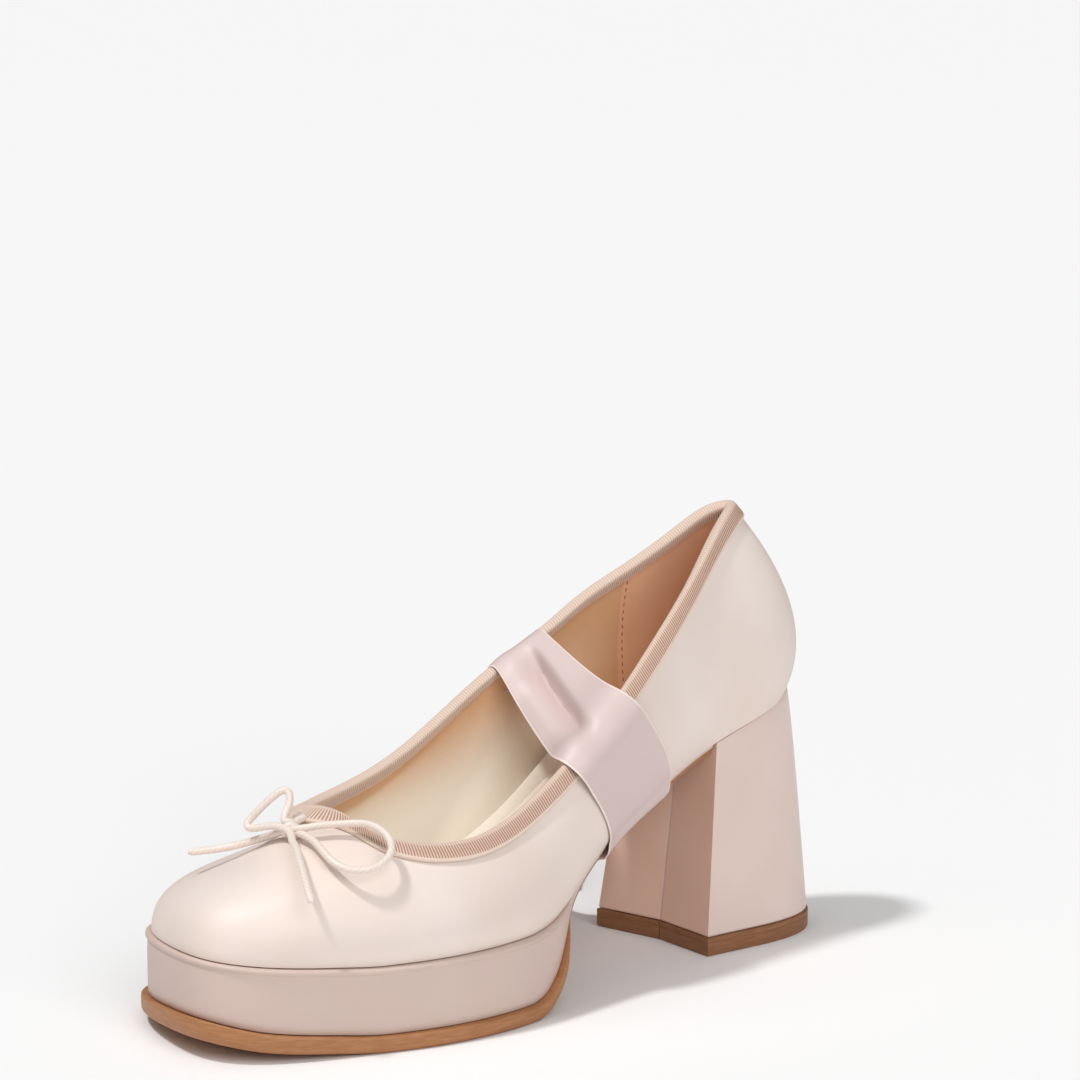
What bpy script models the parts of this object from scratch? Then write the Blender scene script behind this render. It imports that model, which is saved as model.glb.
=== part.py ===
"""Platform pump, left shoe: satin-covered platform and block heel, bound topline, cord bow, ribbon tie.

Standalone Blender 4.5 script; metres, +Z up, toe toward +X, the wearer's left toward +Y.
Tables are in millimetres from the middle of the heel's back edge, lateral side toward +y.
"""
import math

import bmesh
import bpy
import numpy as np

MM = 0.001

# ---------------------------------------------------------------- driving dimensions (mm)
CENTRE_X = 117.85         # middle of the shoe along its length, which becomes world x = 0
CENTRE_Y = -6.75          # middle of the shoe across, which becomes world y = 0
GAP = 0.3                 # play between pieces that touch
PLATFORM_PLAY = 0.36      # the same under the feather edge, over its curve
WALL = 1.6                # upper: satin, backing and lining together
BINDING_WIDTH = 5.2       # grosgrain tape seen on the outside of the topline
BINDING_INSIDE = 3.2      # the same tape inside the shoe
BINDING_THICK = 0.8
INSOLE_THICK = 1.6
PLATFORM_OUT = 1.2        # platform side beyond the feather edge
PLATFORM_LEDGE = 0.6      # rolled top edge beyond the platform side
PLATFORM_TAIL_IN = 0.8    # thin tail of the platform stands inside the feather edge
SOLE_LIP = 3.3            # outsole beyond the feather edge round the forepart
SOLE_WAIST_IN = 1.6       # outsole inside the feather edge along the waist
SOLE_BEVEL = 2.4          # extra inset of its lower edge there
HEEL_BREAST_TOP = 46.0    # x of the heel's front face at the seat
HEEL_BREAST_FOOT = 54.4   # and at the ground
HEEL_HALF_BREAST = 24.0
HEEL_HALF_MIDDLE = 26.0
HEEL_BREAST_HOLLOW = 3.2  # the front face folds in along its middle seam
TOP_PIECE_HEIGHT = 5.8
TOP_PIECE_OUT = 0.4
RIBBON_WIDTH = 38.0
RIBBON_THICK = 0.6
RIBBON_PLAY = 0.45        # ribbon's inner face off what it lies on
STRAP_SAG = 0.4           # strap's middle below the straight line over the opening
STRAP_TROUGH = 4.5        # fold along its middle there
CORD_RADIUS = 1.1
KNOT_CENTRE = (196.3, -3.8, 59.5)
KNOT_SIZE = (3.2, 4.2, 2.4)

LOOP_COUNT = 76           # stations round the upper
RAIL_ROWS = 9             # rows from below the binding to the feather edge

# Round the feather edge from the heel's back, along the lateral side, the toe and the medial side.
# edge: plan of the feather edge; top: topline; low and high: the two handles of the rail between
# them, as distance outward and upward from the edge and from the topline.
# Columns: edge_x, edge_y, top_x, top_y, top_z, low_out, low_up, high_out, high_up.
UPPER_ROWS = (
    (2.0, 0.0, 23.4, 1.2, 133.6, 9.0, 18.0, 10.5, -13.0),        # heel back
    (9.5, 12.8, 29.0, 6.6, 132.8, 10.0, 18.0, 10.0, -12.5),
    (25.5, 19.5, 40.5, 11.6, 126.4, 7.0, 16.0, 5.0, -13.5),
    (48.0, 19.0, 57.5, 16.2, 112.4, 5.5, 12.0, 6.5, -9.0),      # lateral, over the breast
    (73.5, 22.0, 82.5, 21.8, 93.6, 6.5, 9.5, 7.0, -6.5),
    (101.0, 26.0, 107.0, 25.5, 76.0, 6.0, 9.0, 5.0, -5.5),
    (127.0, 33.5, 131.0, 26.0, 61.0, 5.0, 10.0, 5.0, -5.5),
    (151.0, 37.5, 152.5, 27.0, 54.6, 5.0, 11.0, 5.0, -4.5),      # lateral ball
    (175.0, 35.0, 169.0, 22.6, 54.6, 5.0, 12.0, 6.5, -4.5),
    (198.0, 27.0, 178.5, 13.2, 57.4, 4.5, 14.0, 12.0, -5.0),
    (218.5, 17.5, 180.5, 3.0, 61.0, 4.0, 15.5, 18.5, -7.0),
    (231.5, 4.5, 182.0, -5.5, 62.5, 2.5, 18.0, 21.0, -10.0),     # toe
    (231.0, -13.5, 182.0, -13.5, 61.5, 1.5, 20.0, 16.0, -14.0),
    (223.0, -34.0, 180.0, -21.5, 59.4, 1.0, 21.0, 7.0, -16.5),
    (211.0, -47.0, 172.0, -28.5, 57.4, 1.0, 21.0, 2.5, -16.0),
    (195.5, -51.0, 157.0, -34.0, 57.8, 2.5, 19.0, 2.5, -14.0),   # medial ball
    (174.5, -46.5, 132.0, -34.0, 64.6, 4.5, 16.0, 3.0, -12.5),
    (151.0, -37.5, 107.0, -31.0, 79.6, 5.0, 13.5, 3.5, -11.0),
    (126.0, -28.0, 90.0, -27.0, 91.0, 5.0, 12.0, 4.0, -10.0),
    (102.0, -22.0, 78.0, -23.0, 99.0, 6.0, 12.0, 4.0, -11.0),
    (75.0, -21.0, 66.5, -18.5, 108.0, 5.0, 13.0, 5.0, -12.0),
    (48.0, -20.0, 53.5, -13.2, 116.0, 4.5, 14.0, 5.5, -13.5),    # medial, over the breast
    (25.5, -20.0, 39.5, -7.8, 125.0, 5.0, 16.0, 7.0, -14.0),
    (9.5, -13.0, 28.8, -3.6, 131.8, 5.5, 17.0, 9.0, -13.5),
)

# Side profile of the bottom: feather edge height, tread height and outsole thickness.
SOLE_COLUMNS = ("x", "edge_z", "tread_z", "sole")
SOLE_ROWS = (
    (-6.0, 80.2, 76.6, 2.0),
    (20.0, 72.6, 69.0, 2.0),
    (45.0, 65.2, 61.6, 2.0),
    (68.0, 57.3, 53.7, 2.0),
    (88.0, 49.2, 45.6, 2.0),
    (104.0, 40.4, 36.4, 2.0),     # waist
    (110.0, 36.7, 32.2, 2.4),
    (116.0, 33.1, 26.0, 3.4),     # back of the platform
    (122.0, 29.9, 15.5, 4.2),
    (128.0, 27.4, 5.8, 4.6),
    (134.0, 26.1, 1.3, 4.7),
    (140.0, 25.5, 0.0, 4.7),
    (190.0, 25.0, 0.0, 4.8),      # end of the flat tread
    (205.0, 26.0, 1.2, 5.0),
    (222.0, 27.6, 3.0, 5.4),
    (236.0, 29.8, 6.4, 6.0),
    (250.0, 33.6, 10.6, 6.4),     # toe spring
)

# Ribbon strap on the upper: stations of its front and back edges at the feather edge and topline.
STRAP_NEAR = {"front": (4.93, 5.4), "back": (3.86, 4.34)}
STRAP_FAR = {"front": (19.0, 17.6), "back": (20.2, 18.8)}

# Free ribbon ends, from the shoe to the ground: middle of the ribbon and half its width as a vector.
# Columns: x, y, z, half_x, half_y, half_z.
UPPER_END_DROP = (
    (89.9, -30.2, 82.6, 8.3, -2.5, -5.0),
    (88.0, -32.0, 76.5, 11.5, -3.0, -7.0),
    (84.0, -35.5, 64.0, 15.8, -4.0, -7.6),
    (79.0, -40.5, 46.0, 17.4, -5.6, -4.8),
    (73.5, -46.5, 26.0, 16.6, -8.8, -2.0),
    (67.0, -54.5, 9.5, 15.0, -11.6, 0.0),
    (57.0, -66.0, 1.8, 13.9, -13.0, 0.0),
)
LOWER_END_DROP = (
    (86.2, -21.2, 45.4, 16.2, -0.6, -7.7),
    (86.8, -24.5, 44.2, 16.5, -0.8, -7.6),
    (88.5, -28.6, 38.5, 17.0, -2.0, -7.6),
    (93.0, -33.0, 28.0, 17.4, -3.6, -6.0),
    (101.0, -40.0, 14.5, 17.2, -7.0, -3.0),
    (107.5, -52.0, 4.6, 16.0, -10.0, -0.8),
    (107.0, -67.0, 1.2, 14.4, -12.4, 0.0),
    (101.0, -82.0, 0.9, 13.9, -13.0, 0.0),
)
# Where each end folds back on itself on the ground, in order, ending at its cut edge.
# Columns: x, y.
UPPER_END_FOLDS = ((-54.0, -183.0), (44.0, -74.0), (-57.0, -176.0), (38.0, -82.0), (-53.0, -187.0), (20.0, -96.0))
LOWER_END_FOLDS = (
    (38.0, -150.0), (104.0, -84.0), (32.0, -155.0), (108.0, -78.0),
    (37.0, -148.0), (101.0, -85.0), (42.0, -151.0),
)
LAYER_RISE = 2.5          # one layer of ribbon on the next
LAYER_HUMP = 2.2          # the lie of a layer between its folds
FOLD_BULGE = 2.4          # how far a fold's round stands out

# Cord bow: routes of its two ends and two loops from the knot outward.
BOW_TAIL_MEDIAL = ((197.0, -10.4, 57.0), (198.4, -15.6, 54.8), (202.4, -22.0, 52.3), (207.2, -27.0, 51.0),
                   (212.2, -31.0, 50.5))
BOW_TAIL_LATERAL = ((201.0, 2.6, 58.2), (203.0, 6.6, 57.1), (205.8, 11.2, 55.4), (209.4, 17.4, 52.7),
                    (212.3, 22.4, 50.1), (214.3, 26.7, 47.3))
BOW_LOOP_MEDIAL = (
    (195.6, -6.9, 63.4), (193.8, -7.4, 65.6), (192.6, -8.6, 68.4), (193.2, -10.2, 69.4),
    (195.4, -12.0, 67.8), (198.2, -14.4, 64.4), (200.2, -16.4, 61.4), (201.6, -16.9, 59.6),
    (201.6, -15.4, 58.7), (200.6, -12.4, 59.2), (199.7, -10.0, 59.9),
)
BOW_LOOP_LATERAL = (
    (194.0, 2.5, 61.0), (190.8, 5.5, 61.6), (186.8, 9.3, 62.0), (183.9, 14.1, 62.4),
    (182.8, 18.9, 61.7), (182.2, 22.5, 59.6), (183.8, 25.7, 57.3), (186.8, 27.3, 55.2),
    (190.2, 27.3, 53.7), (193.6, 26.1, 52.9), (196.3, 23.7, 52.8), (198.2, 20.1, 53.6),
    (198.6, 15.5, 55.3), (197.4, 9.7, 57.4),
)

COLOURS = {
    "satin": (0.78, 0.62, 0.56, 1.0),
    "grosgrain": (0.62, 0.42, 0.34, 1.0),
    "ribbon": (0.72, 0.58, 0.57, 1.0),
    "cord": (0.74, 0.57, 0.51, 1.0),
    "sock": (0.83, 0.68, 0.54, 1.0),
    "outsole": (0.38, 0.20, 0.12, 1.0),
}


# ---------------------------------------------------------------- curves
def spline(rows, at, closed=False):
    """Smooth curve through rows, one a step; at counts rows, and every column is read there."""
    knots = np.array(rows, dtype=float)
    if closed:
        knots = np.vstack([knots, knots[:1]])
    count = len(knots)
    system = np.zeros((count, count))
    right = np.zeros_like(knots)
    for i in range(1, count - 1):
        system[i, i - 1:i + 2] = (1.0, 4.0, 1.0)
        right[i] = 6.0 * (knots[i - 1] - 2.0 * knots[i] + knots[i + 1])
    if closed:
        system[0, [0, 1, count - 2]] = (4.0, 1.0, 1.0)
        right[0] = 6.0 * (knots[-2] - 2.0 * knots[0] + knots[1])
        system[-1, [0, count - 1]] = (-1.0, 1.0)
    else:
        system[0, 0] = 1.0
        system[-1, -1] = 1.0
    bend = np.linalg.solve(system, right)
    at = np.asarray(at, dtype=float)
    if closed:
        at = at % (count - 1)
    i = np.clip(at.astype(int), 0, count - 2)
    b = (at - i)[:, None]
    a = 1.0 - b
    return a * knots[i] + b * knots[i + 1] + ((a**3 - a) * bend[i] + (b**3 - b) * bend[i + 1]) / 6.0


def level(x, column):
    """Read one column of SOLE_ROWS at x without overshoot: cubic with monotone slopes."""
    table = np.array(SOLE_ROWS)
    xs = table[:, 0]
    ys = table[:, SOLE_COLUMNS.index(column)]
    step = np.diff(xs)
    rise = np.diff(ys) / step
    slope = np.zeros(len(xs))
    slope[0] = rise[0]
    slope[-1] = rise[-1]
    same = rise[:-1] * rise[1:] > 0.0
    mean = 2.0 * rise[:-1] * rise[1:] / np.where(same, rise[:-1] + rise[1:], 1.0)
    slope[1:-1] = np.where(same, mean, 0.0)
    x = np.clip(np.asarray(x, dtype=float), xs[0], xs[-1])
    i = np.clip(np.searchsorted(xs, x) - 1, 0, len(step) - 1)
    t = (x - xs[i]) / step[i]
    return (
        ys[i] * (1 + 2 * t) * (1 - t) ** 2
        + slope[i] * step[i] * t * (1 - t) ** 2
        + ys[i + 1] * t**2 * (3 - 2 * t)
        + slope[i + 1] * step[i] * t**2 * (t - 1)
    )


def unit(vectors):
    """Each row at length one."""
    return vectors / np.linalg.norm(vectors, axis=-1, keepdims=True)


# ---------------------------------------------------------------- the upper's own surface
def edge_plan(at):
    """Feather edge in plan, its outward direction and the other upper columns at stations."""
    columns = spline(UPPER_ROWS, at, closed=True)
    ahead = spline(UPPER_ROWS, np.asarray(at) + 0.02, closed=True)
    along = unit(ahead[:, :2] - columns[:, :2])
    outward = np.column_stack([-along[:, 1], along[:, 0], np.zeros(len(along))])
    return columns, outward


def feather_edge(at):
    """Points of the feather edge and their outward directions."""
    columns, outward = edge_plan(at)
    height = level(columns[:, 0], "edge_z")
    return np.column_stack([columns[:, :2], height]), outward


def rails(at, samples=41):
    """Rails of the outer surface from the topline (row 0) down to the feather edge."""
    columns, outward = edge_plan(at)
    edge = np.column_stack([columns[:, :2], level(columns[:, 0], "edge_z")])
    top = columns[:, 2:5]
    up = np.array([0.0, 0.0, 1.0])
    low = edge + outward * columns[:, 5:6] + up * columns[:, 6:7]
    high = top + outward * columns[:, 7:8] + up * columns[:, 8:9]
    t = np.linspace(0.0, 1.0, samples)[None, :, None]
    return (
        (1 - t) ** 3 * top[:, None]
        + 3 * (1 - t) ** 2 * t * high[:, None]
        + 3 * (1 - t) * t**2 * low[:, None]
        + t**3 * edge[:, None]
    )


def upper_surface(at, down):
    """Outer points and normals; down(length) gives the distances from the topline on a rail."""
    at = np.asarray(at, dtype=float)
    nudge = 0.05
    dense = rails(np.concatenate([at, at + nudge]))
    here = dense[:len(at)]
    beside = dense[len(at):]
    points = []
    normals = []
    for rail, other in zip(here, beside):
        run = np.concatenate([[0.0], np.cumsum(np.linalg.norm(np.diff(rail, axis=0), axis=1))])
        distance = np.asarray(down(run[-1]), dtype=float)
        step = np.gradient(rail, axis=0)
        normal = unit(np.cross(other - rail, step))
        points.append(np.column_stack([np.interp(distance, run, rail[:, k]) for k in range(3)]))
        normals.append(unit(np.column_stack([np.interp(distance, run, normal[:, k]) for k in range(3)])))
    return np.array(points), np.array(normals)


def loop_stations(count):
    """Stations round the whole shoe, none on the heel's back line, paired across its middle."""
    return (np.arange(count) + 0.5) / count * len(UPPER_ROWS)


def station_at(x, side):
    """Station where the feather edge reaches x on the lateral or the medial side."""
    half = len(UPPER_ROWS) / 2
    stations = np.linspace(0.0, half - 1.5, 400)
    if side == "medial":
        stations = len(UPPER_ROWS) - stations
    xs = edge_plan(stations)[0][:, 0]
    return float(np.interp(x, xs, stations))


# ---------------------------------------------------------------- meshes
def world(points):
    """Shoe millimetres to world metres."""
    return (np.asarray(points) - np.array([CENTRE_X, CENTRE_Y, 0.0])) * MM


def finish(name, bm, colour, roughness=0.55, smooth_below=40.0):
    """Make an object of a bmesh with its faces out, smooth shading and its own material."""
    bmesh.ops.recalc_face_normals(bm, faces=bm.faces)
    mesh = bpy.data.meshes.new(name)
    bm.to_mesh(mesh)
    bm.free()
    mesh.shade_smooth()
    mesh.set_sharp_from_angle(angle=math.radians(smooth_below))
    piece = bpy.data.objects.new(name, mesh)
    bpy.context.scene.collection.objects.link(piece)
    piece.data.materials.append(material(name, colour, roughness))
    return piece


def material(name, colour, roughness):
    """A plain Principled material for one piece."""
    made = bpy.data.materials.new(name + "_material")
    made.use_nodes = True
    shader = made.node_tree.nodes["Principled BSDF"]
    shader.inputs["Base Color"].default_value = COLOURS[colour]
    shader.inputs["Roughness"].default_value = roughness
    shader.inputs["Metallic"].default_value = 0.0
    return made


def ring_body(sections, closed):
    """Skin a row of closed sections; closed joins the last to the first, else the ends are capped."""
    bm = bmesh.new()
    rows = [[bm.verts.new(p) for p in world(section)] for section in sections]
    count = len(rows[0])
    spans = len(rows) if closed else len(rows) - 1
    for i in range(spans):
        here = rows[i]
        there = rows[(i + 1) % len(rows)]
        for j in range(count):
            k = (j + 1) % count
            bm.faces.new((here[j], there[j], there[k], here[k]))
    if not closed:
        bm.faces.new(rows[0])
        bm.faces.new(rows[-1][::-1])
    bmesh.ops.triangulate(bm, faces=bm.faces)
    return bm


def slab_body(levels, hollow=None):
    """Stack closed outlines whose points pair across the middle (first with last), and lid both ends.

    hollow adds one point to each outline, between its last and first, for a front that folds in.
    """
    bm = bmesh.new()
    rows = []
    for index, outline in enumerate(levels):
        points = list(outline)
        if hollow is not None:
            points.append(hollow[index])
        rows.append([bm.verts.new(p) for p in world(points)])
    count = len(rows[0])
    pairs = len(levels[0]) // 2
    last = len(levels[0]) - 1
    for upper, lower in zip(rows, rows[1:]):
        for j in range(count):
            k = (j + 1) % count
            bm.faces.new((upper[j], lower[j], lower[k], upper[k]))
    for row in (rows[0], rows[-1]):
        start = 0
        if hollow is not None:
            middle = row[-1]
            bm.faces.new((middle, row[0], row[1]))
            bm.faces.new((middle, row[1], row[last - 1]))
            bm.faces.new((middle, row[last - 1], row[last]))
            start = 1
        for j in range(start, pairs - 1):
            bm.faces.new((row[j], row[j + 1], row[last - j - 1]))
            bm.faces.new((row[j], row[last - j - 1], row[last - j]))
    bmesh.ops.triangulate(bm, faces=bm.faces)
    return bm


def cord(name, route, colour):
    """A round cord on a smooth curve through its route points."""
    pieces = len(route) - 1
    points = spline(route, np.linspace(0.0, pieces, 3 * pieces + 1))
    curve = bpy.data.curves.new(name, "CURVE")
    curve.dimensions = "3D"
    curve.bevel_depth = CORD_RADIUS * MM
    curve.bevel_resolution = 2
    curve.use_fill_caps = True
    line = curve.splines.new("POLY")
    line.points.add(len(points) - 1)
    for target, point in zip(line.points, world(points)):
        target.co = (*point, 1.0)
    piece = bpy.data.objects.new(name, curve)
    bpy.context.scene.collection.objects.link(piece)
    piece.data.materials.append(material(name, colour, 0.5))
    return piece


# ---------------------------------------------------------------- sole and heel
def sole_stations():
    """Stations from the breast along the lateral side, round the toe and back to the breast.

    Both sides stand at the same x, so a lid's strips run straight across the sole.
    """
    behind = np.linspace(HEEL_BREAST_TOP + 3 * GAP, 102.0, 6)
    climb = np.linspace(105.0, 135.0, 11)
    ball = np.linspace(143.0, 191.0, 5)
    sides = np.concatenate([behind, climb, ball])
    lateral = [station_at(x, "lateral") for x in sides]
    medial = [station_at(x, "medial") for x in sides]
    toe = np.linspace(lateral[-1], medial[-1], 20)[1:-1]
    return np.concatenate([lateral, toe, medial[::-1]])


def forepart(x):
    """0 along the waist, 1 where the platform has its full height."""
    height = level(x, "edge_z") - level(x, "tread_z")
    share = np.clip((height - 4.2) / 16.0, 0.0, 1.0)
    return (share * share * (3.0 - 2.0 * share))[:, None]


def offset_loop(edge, outward, distance, height):
    """Feather edge moved outward by a distance and set to a height that may depend on x."""
    loop = edge + outward * distance
    loop[:, 2] = height(loop[:, 0])
    return loop


def build_outsole():
    """Rubber sheet: full lip round the forepart, narrow and bevelled up the waist to the heel."""
    edge, outward = feather_edge(sole_stations())
    full = forepart(edge[:, 0])
    upper_out = full * SOLE_LIP - (1.0 - full) * SOLE_WAIST_IN
    lower_out = full * (SOLE_LIP - 0.6) - (1.0 - full) * (SOLE_WAIST_IN + SOLE_BEVEL)

    def top(x):
        return level(x, "tread_z") + level(x, "sole")

    def shoulder(x):
        return level(x, "tread_z") + 0.25 * level(x, "sole")

    def bottom(x):
        return level(x, "tread_z")

    levels = [
        offset_loop(edge, outward, upper_out, top),
        offset_loop(edge, outward, upper_out, shoulder),
        offset_loop(edge, outward, lower_out, bottom),
    ]
    return finish("outsole", slab_body(levels), "outsole", 0.6)


def build_platform():
    """Satin-covered platform with a rolled top edge; a thin tail runs on under the waist."""
    edge, outward = feather_edge(sole_stations())
    full = forepart(edge[:, 0])
    rows = (                      # share of the height, outset round the forepart
        (0.0, 0.3),
        (0.03, PLATFORM_OUT + 0.7 * PLATFORM_LEDGE),
        (0.075, PLATFORM_OUT + PLATFORM_LEDGE),
        (0.12, PLATFORM_OUT + 0.6 * PLATFORM_LEDGE),
        (0.16, PLATFORM_OUT),
        (1.0, PLATFORM_OUT),
    )

    def side(share):
        def height(x):
            top = level(x, "edge_z") - PLATFORM_PLAY
            slope = level(x + 0.5, "tread_z") - level(x - 0.5, "tread_z")
            bottom = level(x, "tread_z") + level(x, "sole") + GAP * np.hypot(1.0, slope)
            return top + (bottom - top) * share
        return height

    levels = [
        offset_loop(edge, outward, full * out - (1.0 - full) * PLATFORM_TAIL_IN, side(share))
        for share, out in rows
    ]
    return finish("platform", slab_body(levels), "satin", 0.45)


def heel_foot_outline(count=24, out=0.0):
    """Heel outline at the ground: straight sides from the breast corners into a full round back."""
    round_length = 0.55 * HEEL_BREAST_FOOT
    turn = np.linspace(0.0, math.pi, count - 2)
    reach = np.sin(turn) ** 0.75
    spread = np.sign(np.cos(turn)) * np.abs(np.cos(turn)) ** 0.75
    x = np.concatenate([[HEEL_BREAST_FOOT + out], round_length - (round_length + out) * reach,
                        [HEEL_BREAST_FOOT + out]])
    y = np.concatenate([[HEEL_HALF_BREAST + out], (HEEL_HALF_MIDDLE + out) * spread,
                        [-HEEL_HALF_BREAST - out]])
    return np.column_stack([x, y])


def heel_seat_outline(count=24):
    """Heel outline at the seat, flush with the feather edge behind the breast."""
    lateral = station_at(HEEL_BREAST_TOP, "lateral")
    medial = station_at(HEEL_BREAST_TOP, "medial") - len(UPPER_ROWS)
    round_part = np.linspace(2.0, -2.0, count - 2)
    stations = np.concatenate([[lateral], round_part, [medial]])
    edge, _ = feather_edge(stations)
    return edge


def build_heel_block():
    """Satin-covered block that flares to the ground, its breast folding in along the middle seam."""
    seat = heel_seat_outline()
    foot = heel_foot_outline()
    foot_z = TOP_PIECE_HEIGHT + GAP
    back_share = np.sin(np.linspace(0.0, math.pi, len(seat)))
    levels = []
    hollow = []
    for share in (0.0, 0.1, 0.25, 0.45, 0.7, 1.0):
        flare = (share ** (1.0 - 0.3 * back_share))[:, None]
        plan = seat[:, :2] * (1.0 - flare) + foot * flare
        height = (seat[:, 2:] - GAP) * (1.0 - share) + foot_z * share
        outline = np.column_stack([plan, height])
        levels.append(outline)
        middle = (outline[0] + outline[-1]) / 2
        middle[0] -= HEEL_BREAST_HOLLOW
        middle[2] = (level(middle[0], "edge_z") - GAP) * (1.0 - share) + foot_z * share
        hollow.append(middle)
    return finish("heel_block", slab_body(levels, hollow), "satin", 0.45, 30.0)


def build_heel_top_piece():
    """Rubber top piece under the heel block."""
    levels = []
    hollow = []
    for height, out in ((TOP_PIECE_HEIGHT, TOP_PIECE_OUT), (0.8, TOP_PIECE_OUT), (0.0, TOP_PIECE_OUT - 0.4)):
        outline = heel_foot_outline(out=out)
        levels.append(np.column_stack([outline, np.full(len(outline), height)]))
        hollow.append(np.array([HEEL_BREAST_FOOT + out - HEEL_BREAST_HOLLOW, 0.0, height]))
    return finish("heel_top_piece", slab_body(levels, hollow), "outsole", 0.6, 30.0)


# ---------------------------------------------------------------- upper, binding and insole
def rail_distances(length):
    """Rows of the upper: three under the binding, then even steps to the feather edge."""
    bound = [0.0, BINDING_INSIDE, BINDING_WIDTH]
    return np.concatenate([bound, np.linspace(BINDING_WIDTH, length, RAIL_ROWS + 1)[1:]])


def build_upper():
    """One hollow shell, open at the topline and underneath, with its wall's real thickness."""
    stations = loop_stations(LOOP_COUNT)
    outer, normal = upper_surface(stations, rail_distances)
    inner = outer - normal * WALL
    edge, outward = feather_edge(stations)
    inner[:, -1] = edge - outward * WALL
    inner[:, -1, 2] = level(inner[:, -1, 0], "edge_z")
    sections = [np.vstack([outer[i], inner[i][::-1]]) for i in range(LOOP_COUNT)]
    return finish("upper", ring_body(sections, closed=True), "satin", 0.42, 50.0)


def build_binding():
    """Tape folded over the topline: a channel whose two legs follow the wall."""
    stations = loop_stations(LOOP_COUNT)
    points, normal = upper_surface(stations, rail_distances)
    rise = unit(points[:, 0] - points[:, 1])
    outside = GAP + BINDING_THICK
    inside = -(WALL + GAP + BINDING_THICK)
    roll = BINDING_THICK / 2
    sections = []
    for i in range(LOOP_COUNT):
        p = points[i]
        n = normal[i]
        sections.append(np.array([
            p[2] + n[2] * outside,
            p[1] + n[1] * outside,
            p[0] + n[0] * outside,
            p[0] + n[0] * (outside - roll) + rise[i] * outside,
            p[0] + n[0] * (inside + roll) + rise[i] * outside,
            p[0] + n[0] * inside,
            p[1] + n[1] * inside,
            p[1] - n[1] * (WALL + GAP),
            p[0] - n[0] * (WALL + GAP) + rise[i] * GAP,
            p[0] + n[0] * GAP + rise[i] * GAP,
            p[1] + n[1] * GAP,
            p[2] + n[2] * GAP,
        ]))
    return finish("topline_binding", ring_body(sections, closed=True), "grosgrain", 0.7, 60.0)


def build_insole():
    """Sock-covered insole lying inside the upper on platform, waist and heel."""
    edge, outward = feather_edge(loop_stations(LOOP_COUNT))
    inset = -(WALL + 2 * GAP)

    def lower(x):
        return level(x, "edge_z")

    def upper(x):
        return level(x, "edge_z") + INSOLE_THICK

    levels = [offset_loop(edge, outward, inset, upper), offset_loop(edge, outward, inset, lower)]
    return finish("insole", slab_body(levels), "sock", 0.5)


# ---------------------------------------------------------------- ribbon
def strap_columns(side, count=7):
    """Stations of the strap's columns at the feather edge and at the topline of one side."""
    table = STRAP_NEAR if side == "near" else STRAP_FAR
    across = np.linspace(0.0, 1.0, count)
    foot = table["front"][0] + (table["back"][0] - table["front"][0]) * across
    head = table["front"][1] + (table["back"][1] - table["front"][1]) * across
    return foot, head


def strap_on_quarter(shares):
    """Rows of the strap up the lateral quarter, from the feather edge (share 0) to the topline."""
    foot, head = strap_columns("near")
    rows = []
    over_tape = GAP + BINDING_THICK + RIBBON_PLAY
    for share in shares:
        stations = foot + (head - foot) * share

        point, normal = upper_surface(stations, lambda length, s=share: [length * (1.0 - s)])
        lengths = np.array([
            np.linalg.norm(np.diff(rail, axis=0), axis=1).sum() for rail in rails(stations)
        ])
        below_tape = lengths * (1.0 - share) - BINDING_WIDTH
        lift = np.clip(1.0 - below_tape / 5.0, 0.0, 1.0)
        clear = RIBBON_PLAY + (over_tape - RIBBON_PLAY) * lift
        rows.append(point[:, 0] + normal[:, 0] * clear[:, None])
    return rows


def strap_under_waist():
    """Rows of the strap from the medial edge under the waist to the lateral edge."""
    rows = []
    near_foot, _ = strap_columns("near")
    far_foot, _ = strap_columns("far")
    near, near_out = feather_edge(near_foot)
    far, far_out = feather_edge(far_foot)
    steps = (                     # outset from the edge, share of the sole's depth, extra drop
        (0.7, 0.35, 0.0),
        (-0.6, 0.95, 0.3),
        (-3.2, 1.0, RIBBON_PLAY + 0.1),
        (-8.0, 1.0, RIBBON_PLAY),
    )

    def place(edge, outward, out, share, drop):
        row = edge + outward * out
        depth = level(row[:, 0], "edge_z") - level(row[:, 0], "tread_z")
        row[:, 2] = level(row[:, 0], "edge_z") - depth * share - drop
        return row

    for step in ((-0.9, 1.0, RIBBON_PLAY + 0.1), *steps[2:]):
        rows.append(place(far, far_out, *step))
    middle = (near + far) / 2
    middle[:, 2] = level(middle[:, 0], "tread_z") - RIBBON_PLAY
    rows.append(middle)
    for step in reversed(steps):
        rows.append(place(near, near_out, *step))
    return rows


def strap_on_tape(side, offset):
    """One row of the strap on the crest of the binding, at an offset out from the upper's face."""
    _, head = strap_columns(side)
    points, normals = upper_surface(head, rail_distances)
    rise = unit(points[:, 0] - points[:, 1])
    return points[:, 0] + normals[:, 0] * offset + rise * (GAP + BINDING_THICK + RIBBON_PLAY)


def strap_over_opening(count=8):
    """Rows of the strap from the lateral topline across the opening to the medial topline."""
    outer = GAP + BINDING_THICK
    inner = -(WALL + GAP + BINDING_THICK)
    near = strap_on_tape("near", inner)
    far = strap_on_tape("far", inner)
    across = np.linspace(-1.0, 1.0, len(near))
    trough = STRAP_TROUGH * (1.0 - across**2) ** 2
    rows = [strap_on_tape("near", outer), near]
    for share in np.linspace(0.0, 1.0, count + 2)[1:-1]:
        row = near + (far - near) * share
        row[:, 2] -= 4.0 * share * (1.0 - share) * (STRAP_SAG + trough)
        rows.append(row)
    return rows + [far, strap_on_tape("far", outer)]


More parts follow.
